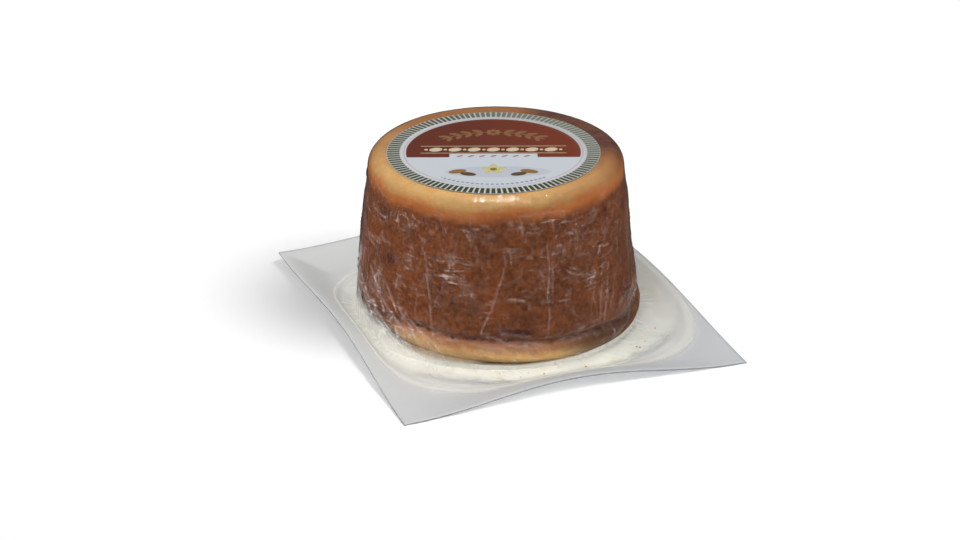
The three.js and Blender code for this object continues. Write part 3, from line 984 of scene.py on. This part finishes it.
def label_material(colours):
    p = LabelPrint()
    gold = srgb(150, 112, 74)
    colour = p.mix(p.rays(), srgb(205, 207, 196), colours.rays)
    colour = p.mix(p.below(p.radius, 43.5, 0.2), colour, srgb(208, 213, 218))
    colour = p.dab(p.between(p.radius, 41.6, 42.1, 0.15), 0.6, colour, srgb(196, 128, 122))

    # The lower field is white, and turns to pale lavender under the motif.
    shadow = p.oval(p.sub(p.u, 2.0), p.add(p.v, 24.5), 24.0, 6.5)
    colour = p.dab(shadow, 0.4, colour, srgb(176, 178, 200))

    # The upper field is red, but for a tab that hangs into it from below.
    in_field = p.mul(p.below(p.radius, 40.9, 0.2), p.fade(p.v, -7.2, -6.8))
    red = p.mix(p.fade(p.u, -20.0, 40.0), colours.field, srgb(126, 54, 28))
    red = p.dab(p.patches(p.place, 34.0, 0.5, 0.25), 0.2, red, srgb(90, 40, 30))
    tab = p.mul(p.below(p.side, 20.5, 0.2), p.below(p.v, -2.7, 0.2))
    colour = p.mix(p.mul(in_field, p.sub(1.0, tab)), colour, red)
    colour = p.dab(p.garland(), 0.7, colour, gold)
    colour = p.dab(p.rosette(), 0.8, colour, gold)
    colour = p.mix(p.row(), colour, srgb(216, 200, 168))

    # A wavy line of red-brown lozenges on the tab.
    lozenge = p.oval(p.wrapped(p.u, 5.2), p.add(p.v, 5.6), 1.7, 0.8, 0.5)
    lozenge = p.mul(lozenge, p.below(p.side, 17.8, 0.2))
    colour = p.dab(lozenge, 0.75, colour, srgb(146, 84, 70))

    outer, inner = p.almonds()
    petals, heart = p.blossom()
    colour = p.mix(outer, colour, srgb(150, 112, 52))
    colour = p.mix(inner, colour, srgb(96, 74, 40))
    colour = p.mix(petals, colour, srgb(204, 200, 140))
    colour = p.mix(heart, colour, srgb(150, 116, 50))
    colour = p.dab(p.dashes(), 0.7, colour, srgb(108, 116, 170))

    # Towards the back and the right the border is greyer: a painted sheen of the label's gloss.
    painted_sheen = p.fade(p.add(p.mul(p.u, 0.6), p.mul(p.v, 0.8)), 4.0, 44.0)
    painted_sheen = p.mul(painted_sheen, p.fade(p.radius, 38.0, 46.0))
    colour = p.dab(painted_sheen, 0.5, colour, srgb(150, 152, 140))
    colour = p.mix(1.0, colour, colours.paper, blend="MULTIPLY")

    grain = p.noise(p.place, 4.0, detail=2.0)
    normal = p.bump(p.noise(p.place, 0.06, detail=2.0), 0.2, 0.5 * MM)
    normal = p.bump(grain, 0.15, 0.03 * MM, normal)
    roughness = p.fade(grain, 0.3, 0.7, 0.36, 0.46)
    paper = p.principled(base_color=colour, roughness=roughness, specular_ior_level=0.12, normal=normal)
    return p.finish(paper)


# --------------------------------------------------------------------------------------------- pieces


def burnt_share(angle, height):
    """How burnt the top rim is: one stretch of it at the back right."""
    off = np.degrees(turn_from(math.radians(12), angle))
    along = 1 - smoothstep(abs(off), 26, 52)
    return along * smoothstep(height, ROUND_HEIGHT - 8 * MM, ROUND_HEIGHT - 1.5 * MM)


def make_baked_round():
    sizes = pack().round
    outline = RoundOutline()
    side = outline.total - outline.flat_top - outline.arc - BEVEL_LENGTH - sizes.foot_radius
    upper = [(outline.flat_top, 5), (outline.arc, 4), (side, 19)]
    rings = stations(*upper, (BEVEL_LENGTH, 6), (sizes.foot_radius, 3))
    piece, angle, along = ringed_disc("baked_round", rings, sizes.turns, 2)
    along = np.minimum(along * outline.total / rings[-1], outline.total)
    radius, height = outline.at(along)
    grown = radius + skin_relief(angle, height) * (radius > outline.flat_top * 0.9)
    flat_place = ways(angle) * grown[:, None] + middle_at(height)
    write_points(piece, np.column_stack([flat_place, height + ROUND_LOW.z]))

    skin = piece.vertex_groups.new(name="skin")
    shares = smoothstep(radius, 30 * MM, outline.flat_top)
    shares *= smoothstep(height, 0.5 * MM, 4 * MM)
    for index in np.flatnonzero(shares > 0).tolist():
        skin.add([index], float(shares[index]), "REPLACE")
    spots = [*BAKE_SPOTS, *stray_spots(sizes.dent_seed, sizes.bake_spots, [-0.8, 0.7])]
    write_attributes(
        piece,
        above_fold=(height - fold_line(angle)) / MM,
        burnt=burnt_share(angle, height),
        baked=round_the_pack(angle, BAKED_AND_SHADED_SHARES),
        pale_foot=round_the_pack(angle, PALE_FOOT_AND_SHADE_SHARES),
        spots=np.clip(soft_spots(angle, height, spots), -1, 1),
    )
    tidy_surface(piece, merge=0.02 * MM)
    roughen(piece, 7 * MM, sizes.crust_relief * 0.6, "skin")
    roughen(piece, 2.2 * MM, sizes.crust_relief * 0.4, "skin")
    dress(piece, "baked_ricotta", baked_skin_material(pack().colours), stands_for=["ricotta_round"])
    return piece


def crease_marks(angle, height, creases):
    """How close each point is to its nearest crease, from 0 to 1 times the crease's strength."""
    scale = pack().round.girth_radius
    marks = np.zeros_like(angle)
    for start_angle, start_height, end_angle, end_height, bow, strength, width in creases:
        turn = turn_from(0.0, math.radians(end_angle - start_angle))
        span = np.array([turn * scale, (end_height - start_height) * MM])
        across = turn_from(math.radians(start_angle), angle) * scale
        up = height - start_height * MM
        reach = np.hypot(*span)
        near = (abs(across - span[0] / 2) < reach) & (abs(up - span[1] / 2) < reach + 3 * width)
        if not near.any():
            continue
        way = span / reach
        along = (across[near] * way[0] + up[near] * way[1]) / reach
        aside = up[near] * way[0] - across[near] * way[1]
        path = bow * MM * 4 * along * (1 - along)
        ends = smoothstep(along, -0.02, 0.2) * (1 - smoothstep(along, 0.8, 1.02))
        mark = strength * ends * np.exp(-(((aside - path) / width) ** 2))
        marks[near] = np.maximum(marks[near], mark)
    return marks


def all_creases(sizes):
    """The creases named above, and stray ones placed at random over the whole film."""
    width = sizes.crease_width
    draw = np.random.default_rng(sizes.seed)
    creases = [(*crease, width) for crease in CREASES]
    for _ in range(sizes.stray_creases):
        angle = draw.uniform(-180, 180)
        height = draw.uniform(8, 80)
        is_shown = -176 < angle < -40
        long = draw.uniform(4, 12) if is_shown else draw.uniform(6, 30)
        lean = draw.normal(0, 0.2) if draw.random() < 0.6 else draw.normal(math.pi / 2, 0.25)
        end = (angle + long * math.sin(lean) / 1.15, height - long * math.cos(lean))
        strength = draw.uniform(0.15, 0.45) if is_shown else draw.uniform(0.2, 0.85)
        creases.append((angle, height, *end, draw.normal(0, 0.3), strength, width * draw.uniform(0.7, 1.1)))
    return creases


def foot_pleats(sizes):
    """Pleats that run from where the film leaves the side down to the sheet and out over it."""
    draw = np.random.default_rng(sizes.seed + 1)
    pleats = []
    for i in range(sizes.pleats):
        angle = -180 + 360 * (i + draw.uniform(-0.42, 0.42)) / sizes.pleats
        leaves = float(round_the_pack(np.array([math.radians(angle)]), TENT_HEIGHTS)[0]) / MM
        top = leaves * draw.uniform(0.45, 1.05)
        foot = -draw.uniform(1.5, 9)
        lean = draw.normal(0, 1.6)
        width = sizes.crease_width * draw.uniform(0.9, 1.9)
        pleats.append((angle, top, angle + lean, foot, draw.normal(0, 0.5), draw.uniform(0.3, 1), width))
    return pleats


class FilmPath:
    """How the film runs: over the round, off its side, down to the sheet and out over it to the weld."""

    def __init__(self, angle):
        film = pack().film
        self.angle = angle
        self.way = ways(angle)
        self.outline = RoundOutline()
        self.level = pack().sheet.thickness + film.lift
        self.leave_height = round_the_pack(angle, TENT_HEIGHTS)
        self.leave_along = self.outline.where_height(self.leave_height, lowest=1 * MM)
        self.leaving = self.over_round(self.leave_along)[0]

        stand = round_the_pack(angle, TENT_STANDS)
        land_radius = pack().round.girth_radius + stand
        self.landing_flat = self.ring(land_radius, GIRTH_MIDDLE, self.level)
        self.landing = curl_with_sheet(self.landing_flat)
        corner_height = self.level + 0.3 * self.leave_height
        self.corner = self.ring(land_radius - 0.25 * stand, GIRTH_MIDDLE, corner_height)
        self.weld = self.ring(weld_radius(angle) + PAST_WELD, FOOT_MIDDLE, self.level)
        self.tent_length = np.linalg.norm(self.landing - self.leaving, axis=1) * 1.03

    def ring(self, radius, middle, height):
        flat_place = self.way * np.reshape(radius, (-1, 1)) + middle
        return np.column_stack([flat_place, np.zeros(len(self.way)) + height])

    def over_round(self, along):
        """Places on the film at lengths along the outline, their height over the foot, and the way out."""
        flat_top = self.outline.flat_top
        radius, height = self.outline.at(along)
        out = self.outline.normal(along)
        relief = skin_relief(self.angle, height, groove_share=0.5) * (radius > flat_top * 0.9)
        gap = pack().film.gap * smoothstep(radius, flat_top * 0.97, flat_top * 1.05)
        radius = radius + relief + gap * out[:, 0]
        over_top = TOP_GAP + (gap - TOP_GAP) * np.clip(out[:, 1], 0, 1) * (gap > 0)
        flat_place = self.way * radius[:, None] + middle_at(height)
        return np.column_stack([flat_place, height + over_top + ROUND_LOW.z]), height, out

    def down_the_tent(self, share):
        """Places between the side, at 0, and where the film lands on the sheet, at 1."""
        t = np.reshape(share, (-1, 1))
        return (1 - t) ** 2 * self.leaving + 2 * t * (1 - t) * self.corner + t**2 * self.landing

    def tent_share_at(self, height):
        """How far down the tent its film comes to a height."""
        start, middle, end = (places[:, 2] for places in (self.leaving, self.corner, self.landing))
        a = start - 2 * middle + end
        b = 2 * (middle - start)
        c = start - height
        root = np.sqrt(np.maximum(b**2 - 4 * a * c, 0))
        return np.clip(2 * c / (root - b), 0, 1)

    def over_sheet(self, share):
        """Places on the loose film from where it lands, at 0, to its weld, at 1."""
        return curl_with_sheet(lerp(self.landing_flat, self.weld, np.reshape(share, (-1, 1))))


def weld_radius(angle):
    """How far the weld lies from the foot's middle: a ring drawn out to the sheet's corners."""
    return pack().film.reach - pack().film.squareness * np.cos(4 * angle)


def make_skin_film():
    sizes = pack().film
    outline = RoundOutline()
    rings = stations((outline.flat_top, 2), (outline.arc, 4), (80 * MM, 23), (24 * MM, 5))
    piece, angle, along = ringed_disc("skin_film", rings, sizes.turns, 2)
    path = FilmPath(angle)

    wall, height, out = path.over_round(np.minimum(along, path.leave_along))
    past = (along - path.leave_along) / path.tent_length
    tent = path.down_the_tent(np.clip(past, 0, 1))
    landed = path.leave_along + path.tent_length
    skirt_share = np.clip((along - landed) / (rings[-1] - landed), 0, 1)
    skirt = path.over_sheet(skirt_share)
    is_skirt = past > 1
    is_tent = (past > 0) & ~is_skirt
    points = np.where(is_skirt[:, None], skirt, np.where(is_tent[:, None], tent, wall))

    # Heights for the creases: over the foot on the side, and below 0 out over the sheet.
    skirt_length = np.linalg.norm(skirt[:, :2] - path.landing[:, :2], axis=1)
    level = np.where(is_skirt, -skirt_length, np.where(is_tent, path.leave_height * (1 - past), height))
    marks = crease_marks(angle, level, all_creases(sizes))
    pleats = crease_marks(angle, level, foot_pleats(sizes))
    marks *= smoothstep(ROUND_HEIGHT - level, 0.5 * MM, 4 * MM)
    near_foot = smoothstep(level, -12 * MM, -1 * MM) * (1 - smoothstep(level, 4 * MM, 9 * MM))
    puckered = np.maximum(np.clip(soft_spots(angle, level, PUCKERS), 0, 1), 0.7 * near_foot)
    puckered *= smoothstep(along, outline.flat_top, outline.flat_top + 3 * MM)
    folds = np.zeros(len(points))
    for index in np.flatnonzero(puckered > 0.02).tolist():
        folds[index] = noise.ridged_multi_fractal(Vector(points[index]) * 360, 1.0, 2.0, 2, 1.0, 1.5)
    rise = sizes.crease_rise * marks + sizes.pleat_rise * pleats * np.where(is_tent | is_skirt, 1.0, 0.35)
    rise += sizes.pucker_rise * puckered * np.clip(folds / 2, 0, 1) * np.where(is_skirt, 0.6, 0.9)
    side_way = np.column_stack([path.way * out[:, :1], np.clip(out[:, 1], 0, 1)])
    side_way[is_skirt] = (0, 0, 1)
    side_way[is_tent] = np.column_stack([path.way * 0.8, np.full(len(angle), 0.6)])[is_tent]
    fade_out = 1 - smoothstep(skirt_share, 0.5, 0.95)
    points += side_way * (rise * fade_out)[:, None]

    # The loose film waves a little over the whey, stands in a bead, and goes down to the weld.
    flowing = flat_noise(points[:, :2], 140, 0.4)
    points[:, 2] += np.where(is_skirt, 0.22 * MM * flowing * fade_out, 0)
    bead = is_skirt * np.exp(-(((skirt_share - 0.84) / 0.05) ** 2))
    points[:, 2] += pack().sheet.weld_bead * bead
    points[:, 2] -= is_skirt * (sizes.lift + 0.12 * MM) * smoothstep(skirt_share, 0.9, 1.0)
    write_points(piece, points)

    # It turns milky low down where it stands off the side, and over the sheet in a ring by the weld.
    hazy_spots = [*HAZE_SPOTS, *stray_spots(sizes.seed, STRAY_HAZE_SPOTS, [0.8])]
    haze = 0.3 + soft_spots(angle, level, hazy_spots)
    on_side = smoothstep(level, -1 * MM, 5 * MM) * (1 - smoothstep(level, 70 * MM, 78 * MM))
    starts = lerp(0.75, 0.28, smoothstep(path.leave_height, 10 * MM, 23 * MM))
    most = lerp(0.08, 0.68, smoothstep(path.leave_height, 5 * MM, 14 * MM))
    milky = is_tent * most * smoothstep(past - starts, 0, 0.35)
    ends = 1 - smoothstep(skirt_share, 0.93, 1.0)
    ring = smoothstep(skirt_share, 0.55, 0.7) * ends
    milky_skirt = lerp(0.5 * smoothstep(path.leave_height, 4 * MM, 16 * MM), 0.42, ring) * ends
    write_attributes(
        piece,
        crease=np.clip(marks + 0.45 * pleats * (is_tent | (level < 20 * MM)), 0, 1.3),
        puckered=puckered,
        hazy=np.clip(haze, 0, 2.2) * on_side,
        milky=np.where(is_skirt, milky_skirt, milky) + 0.1 * bead,
    )
    tidy_surface(piece)
    dress(piece, "skin_film", film_material(), stands_for=["ricotta_round"])
    return piece


def make_base_sheet():
    sizes = pack().sheet
    piece = start_piece("base_sheet", bpy.ops.mesh.primitive_plane_add, size=2)
    bpy.ops.transform.resize(value=(SHEET_HIGH.x, SHEET_HIGH.y, 1), center_override=(0, 0, 0))
    bpy.ops.mesh.subdivide(number_cuts=sizes.cuts)
    bpy.ops.object.mode_set(mode="OBJECT")
    points = read_points(piece)
    from_foot = points[:, :2] - FOOT_MIDDLE
    off_weld = np.hypot(*from_foot.T) - weld_radius(np.arctan2(from_foot[:, 1], from_foot[:, 0]))
    points = curl_with_sheet(points)
    points[:, 2] += sizes.thickness
    write_points(piece, points)
    write_attributes(piece, weld=np.exp(-((off_weld / WELD_WIDTH) ** 2)))
    apply_modifier(piece, "SOLIDIFY", thickness=sizes.thickness, offset=-1, material_offset_rim=1)
    tidy_surface(piece)
    dress(piece, "base_sheet", sheet_material(pack().colours), shaded_edge_material(), stands_for=["pack_sheet"])
    for face in piece.data.polygons:
        if abs(face.normal.z) < 0.6:
            face.material_index = 1
    return piece


def make_whey_pool():
    """Whey that fills the room between the foot and the film, and spreads out thinly over the sheet."""
    sizes = pack().whey
    film = pack().film
    sheet_top = pack().sheet.thickness + 0.01 * MM
    rings = [30 * MM + i * MM for i in range(26)]
    piece, angle, ring = ringed_disc("whey_pool", rings, 180, 1, has_middle=False)
    share = (ring - rings[0]) / (rings[-1] - rings[0])
    path = FilmPath(angle)

    # The rings go up under the round, across to the film, down behind it, out over the sheet and back.
    turning_points = [0, 0.08, 0.14, 0.3, 0.84, 1.0]
    place = np.interp(share, turning_points, np.arange(len(turning_points)))
    stretch = np.minimum(place.astype(int), len(turning_points) - 2)
    local = (place - stretch)[:, None]

    bank = np.minimum(round_the_pack(angle, WHEY_BANKS), path.leave_height * 0.8)
    bank *= 1 + 0.12 * flat_noise(path.way, 6, 3.7)
    bank_radius, _ = path.outline.at(path.outline.where_height(bank, lowest=0.1 * MM))
    against = path.way * (bank_radius - 0.8 * MM)[:, None] + middle_at(bank)
    against = np.column_stack([against, bank + ROUND_LOW.z])
    inside = path.ring(sizes.inner_radius, FOOT_MIDDLE, sheet_top)
    bank_share = path.tent_share_at(bank + ROUND_LOW.z)
    behind_film = np.column_stack([path.way, np.zeros(len(angle))]) * -sizes.clearance
    at_film = path.down_the_tent(bank_share) + behind_film
    down = path.down_the_tent(lerp(bank_share, 1, local[:, 0])) + behind_film

    wander = flat_noise(path.way, 2.6, 1.7) + 0.4 * flat_noise(path.way, 8, 5.7)
    edge = sizes.outer_radius + 2.4 * MM * wander
    lands_at = np.hypot(*(path.landing_flat[:, :2] - FOOT_MIDDLE).T)
    welded_at = np.hypot(*(path.weld[:, :2] - FOOT_MIDDLE).T)
    edge_share = np.clip((edge - lands_at) / (welded_at - lands_at), 0.3, 0.9)
    spread = path.over_sheet(edge_share * local[:, 0])
    spread[:, 2] -= lerp(film.lift - sizes.depth, film.lift - 0.05 * MM, smoothstep(local[:, 0], 0.75, 1))
    rim_flat = lerp(path.landing_flat, path.weld, edge_share[:, None])
    rim_flat[:, 2] = sheet_top
    back = curl_with_sheet(lerp(rim_flat, inside, local))

    stretches = [lerp(inside, against, local), lerp(against, at_film, local), down, spread, back]
    points = np.choose(stretch[:, None], stretches)
    write_points(piece, points)

    # It thins out towards its edge, and gets a painted shade against the round where the film is drawn tight.
    from_foot = np.hypot(*(points[:, :2] - FOOT_MIDDLE).T)
    ends_at = lerp(lands_at, welded_at, edge_share)
    shaded = 1 - smoothstep(from_foot - lands_at, -3.5 * MM, -0.3 * MM)
    stands_off = smoothstep(path.leave_height, 5 * MM, 8.5 * MM)
    write_attributes(
        piece,
        rim=smoothstep(from_foot, ends_at - 12 * MM, ends_at + 0.5 * MM),
        by_round=shaded * lerp(0.95, 0.1, stands_off),
    )
    tidy_surface(piece, merge=0.005 * MM)
    dress(piece, "whey", whey_material(pack().colours))
    return piece


def make_crumbs():
    """Crumbs of baked skin in the whey, one modelled and the others its copies."""
    sizes = pack().whey
    draw = np.random.default_rng(sizes.seed)
    crumb = start_piece("crumbs", bpy.ops.mesh.primitive_ico_sphere_add, subdivisions=2, radius=1.0)
    bpy.ops.transform.resize(value=(1, 0.7, 0.45), center_override=(0, 0, 0))
    bpy.ops.object.mode_set(mode="OBJECT")
    form = read_points(crumb)
    form *= 1 + 0.3 * np.array([[noise.noise(Vector(p) * 2.2)] for p in form.tolist()])
    write_points(crumb, form)
    copies = []
    places = [(-8, -71, 0.55), (12.6, -71.5, 0.6), (44, -62, 0.65), (59, -46, 0.75), (49, -57, 0.45)]
    while len(places) < sizes.crumbs:
        angle = draw.uniform(0, 2 * math.pi)
        radius = draw.uniform(67, 76)
        size = draw.uniform(0.2, 0.5)
        place = np.array([math.cos(angle), math.sin(angle)]) * radius + FOOT_MIDDLE / MM
        places.append((*place, size))
    for x, y, size in places:
        copy = crumb.copy()
        copy.data = crumb.data.copy()
        bpy.context.collection.objects.link(copy)
        turn = Matrix.Rotation(draw.uniform(0, 2 * math.pi), 4, "Z")
        points = form @ np.array(turn.to_3x3()).T * (size * MM)
        base = np.array([x * MM, y * MM, pack().sheet.thickness + pack().film.lift - 0.1 * MM])
        write_points(copy, points + curl_with_sheet(base[None, :]))
        copies.append(copy)
    bpy.ops.object.select_all(action="DESELECT")
    write_points(crumb, read_points(copies[0]))
    for copy in copies[1:]:
        copy.select_set(True)
    bpy.data.objects.remove(copies[0])
    crumb.select_set(True)
    bpy.context.view_layer.objects.active = crumb
    bpy.ops.object.join()
    tidy_surface(crumb)
    dress(crumb, "whey", crumb_material(pack().colours))
    return crumb


def make_paper_label():
    """The label: a thin disc whose rim is softly rounded and that lifts a little here and there."""
    radius = (LABEL_HIGH.x - LABEL_LOW.x) / 2
    thickness = LABEL_HIGH.z - LABEL_LOW.z
    rim = 0.3 * MM
    most_lift = 0.06 * MM
    rings = stations((radius - rim, 11), (rim, 1))
    piece, angle, ring = ringed_disc("paper_label", rings, 128, 2)
    place = ways(angle) * ring[:, None]
    lift = flat_noise(place, 34, 3.1)
    height = LABEL_HIGH.z - most_lift + most_lift * lift * smoothstep(ring, 10 * MM, radius)
    write_points(piece, np.column_stack([place + np.array(LABEL_MIDDLE.xy), height]))
    tidy_surface(piece)
    apply_modifier(piece, "SOLIDIFY", thickness=thickness * 0.5, offset=-1)
    bpy.ops.object.shade_smooth()
    dress(piece, "label_paper", label_material(pack().colours), stands_for=["round_label"])
    return piece


# ---------------------------------------------------------------------------------------------- stage


def way_to(azimuth, elevation):
    """The way from the pack to something that stands at these angles."""
    flat = math.cos(elevation)
    return Vector((math.sin(azimuth) * flat, -math.cos(azimuth) * flat, math.sin(elevation)))


def aim_camera(sizes):
    """The view of the product: the round's middle a little right of and over the frame's middle."""
    back = way_to(-PRINT_TURN, sizes.elevation)
    camera = bpy.data.objects.new("camera", bpy.data.cameras.new("camera"))
    bpy.context.scene.collection.objects.link(camera)
    camera.data.lens = sizes.lens
    camera.data.sensor_width = 36
    camera.data.clip_start = 0.05
    camera.location = Vector((*TOP_MIDDLE, AIM_HEIGHT)) + back * sizes.distance
    camera.rotation_mode = "QUATERNION"
    left = Quaternion((0, 1, 0), math.radians(0.33))
    down = Quaternion((1, 0, 0), math.radians(-0.72))
    roll = Quaternion((0, 0, 1), math.radians(-0.154))
    camera.rotation_quaternion = (-back).to_track_quat("-Z", "Y") @ roll @ left @ down
    bpy.context.scene.camera = camera


def add_light(name, kind, energy, azimuth, elevation, distance, **settings):
    """A light that looks at the round: azimuth 0 is in front of the camera's side, 90 to its right."""
    way = way_to(math.radians(azimuth) - PRINT_TURN, math.radians(elevation))
    light = bpy.data.objects.new(name, bpy.data.lights.new(name, kind))
    bpy.context.scene.collection.objects.link(light)
    light.data.energy = energy
    for key, value in settings.items():
        setattr(light.data, key, value)
    light.location = Vector((0, 0, AIM_HEIGHT)) + way * distance
    light.rotation_mode = "QUATERNION"
    light.rotation_quaternion = (-way).to_track_quat("-Z", "Y")
    return light


def add_sun(name, azimuth, elevation, **settings):
    """A sun that nothing mirrors, as strong as the stage's number of the same name says."""
    strength = getattr(pack().stage, name.replace(" ", "_"))
    sun = add_light(name, "SUN", strength, azimuth, elevation, SUN_DISTANCE, **settings)
    sun.visible_glossy = False
    return sun


def make_world(sky):
    """Soft light from above, and a dark horizon for the film to reflect at its edges."""
    world = bpy.data.worlds.new("studio")
    world.use_nodes = True
    bpy.context.scene.world = world
    t = Tree(world.node_tree)
    up = t.split(t.node("TexCoord").outputs["Generated"])[2]
    strength = t.fade(up, -0.15, 0.7, 0.2 * sky, 1.0 * sky)
    background = t.node("Background", {"Color": (0.98, 0.99, 1.0), "Strength": strength}).outputs[0]
    t.node("OutputWorld", {"Surface": background})


def share_out(floor, floor_lights, pack_lights):
    """Lets some lights fall on the floor alone, for its soft shadow, and others on all but the floor."""
    for light in (*floor_lights, *pack_lights):
        lit = bpy.data.collections.new("lit by the " + light.name)
        lit.objects.link(floor)
        if light in pack_lights:
            lit.collection_objects[0].light_linking.link_state = "EXCLUDE"
        light.light_linking.receiver_collection = lit


def make_stage():
    sizes = pack().stage
    floor = start_piece("floor", bpy.ops.mesh.primitive_plane_add, size=sizes.floor)
    bpy.ops.object.mode_set(mode="OBJECT")
    floor.data.materials.append(floor_material())
    floor.visible_glossy = False
    make_world(sizes.sky)
    wide = math.radians(60)
    right = add_sun("right light", 80, 25, angle=wide)
    front = add_sun("front light", -44, 52, angle=wide)
    top = add_sun("top light", -60, 80, angle=wide)
    low = add_sun("floor light", 70, 50, angle=math.radians(32))
    even = add_sun("even floor light", 0, 70, use_shadow=False)
    share_out(floor, [low, even], [right, front, top])
    # Small lights that only the film and the whey glint in.
    for name, azimuth, elevation in (("spark light", 20, 76), ("left spark light", -14, 70)):
        placing = (azimuth, elevation, SPARK_DISTANCE)
        spark = add_light(name, "AREA", sizes.spark_light, *placing, size=0.3, shape="DISK")
        spark.visible_diffuse = False
    aim_camera(sizes)
    bpy.context.scene.view_settings.view_transform = "Standard"


# ------------------------------------------------------------------------------------------- operators


class PackOperator(bpy.types.Operator):
    """Makes one piece of the pack."""

    bl_options = {"REGISTER", "UNDO"}

    def execute(self, context):
        piece = self.make()
        if piece is not None and not len(piece.data.polygons):
            raise RuntimeError(f"{piece.name} has no faces")
        return {"FINISHED"}


class RICOTTA_OT_stage(PackOperator):
    """Set the pale floor, the soft lights and the camera"""

    bl_idname = "ricotta.stage"
    bl_label = "Stage"
    make = staticmethod(make_stage)


class RICOTTA_OT_baked_round(PackOperator):
    """Model the baked round with its fold, dents and crust"""

    bl_idname = "ricotta.baked_round"
    bl_label = "Baked Round"
    make = staticmethod(make_baked_round)


class RICOTTA_OT_base_sheet(PackOperator):
    """Model the curled base sheet with its cut edge"""

    bl_idname = "ricotta.base_sheet"
    bl_label = "Base Sheet"
    make = staticmethod(make_base_sheet)


class RICOTTA_OT_whey_pool(PackOperator):
    """Model the whey that stands under the film round the foot"""

    bl_idname = "ricotta.whey_pool"
    bl_label = "Whey Pool"
    make = staticmethod(make_whey_pool)


class RICOTTA_OT_crumbs(PackOperator):
    """Scatter the crumbs of baked skin in the whey"""

    bl_idname = "ricotta.crumbs"
    bl_label = "Crumbs"
    make = staticmethod(make_crumbs)


class RICOTTA_OT_skin_film(PackOperator):
    """Model the clear film, its creases and its pleats down to the weld"""

    bl_idname = "ricotta.skin_film"
    bl_label = "Skin Film"
    make = staticmethod(make_skin_film)


class RICOTTA_OT_paper_label(PackOperator):
    """Model the printed paper label"""

    bl_idname = "ricotta.paper_label"
    bl_label = "Paper Label"
    make = staticmethod(make_paper_label)


class RicottaPack(bpy.types.PropertyGroup):
    round: PointerProperty(type=RoundSizes, name="Round", description="Sizes of the baked round")
    film: PointerProperty(type=FilmSizes, name="Film", description="Sizes of the skin film")
    sheet: PointerProperty(type=SheetSizes, name="Sheet", description="Sizes of the base sheet")
    whey: PointerProperty(type=WheySizes, name="Whey", description="Sizes of the whey")
    colours: PointerProperty(type=PackColours, name="Colours", description="Colours of the pack")
    stage: PointerProperty(type=StageSizes, name="Stage", description="Camera and lights")


SETTINGS = [RoundSizes, FilmSizes, SheetSizes, WheySizes, PackColours, StageSizes, RicottaPack]
OPERATORS = [
    RICOTTA_OT_stage,
    RICOTTA_OT_baked_round,
    RICOTTA_OT_base_sheet,
    RICOTTA_OT_whey_pool,
    RICOTTA_OT_crumbs,
    RICOTTA_OT_skin_film,
    RICOTTA_OT_paper_label,
]


class RICOTTA_PT_pack(bpy.types.Panel):
    bl_label = "Vacuum-Packed Ricotta"
    bl_idname = "RICOTTA_PT_pack"
    bl_space_type = "VIEW_3D"
    bl_region_type = "UI"
    bl_category = "Ricotta"

    def draw(self, context):
        settings = context.scene.ricotta_pack
        for name in settings.__annotations__:
            box = self.layout.box()
            box.label(text=name.title())
            group = getattr(settings, name)
            for key in group.__annotations__:
                box.prop(group, key)
        for operator in OPERATORS:
            self.layout.operator(operator.bl_idname)


CLASSES = [*SETTINGS, *OPERATORS, RICOTTA_PT_pack]


def register():
    for cls in CLASSES:
        bpy.utils.register_class(cls)
    bpy.types.Scene.ricotta_pack = PointerProperty(type=RicottaPack)


def unregister():
    del bpy.types.Scene.ricotta_pack
    for cls in reversed(CLASSES):
        bpy.utils.unregister_class(cls)


def main():
    register()
    for operator in OPERATORS:
        group, name = operator.bl_idname.split(".")
        getattr(getattr(bpy.ops, group), name)()


if __name__ == "__main__":
    main()
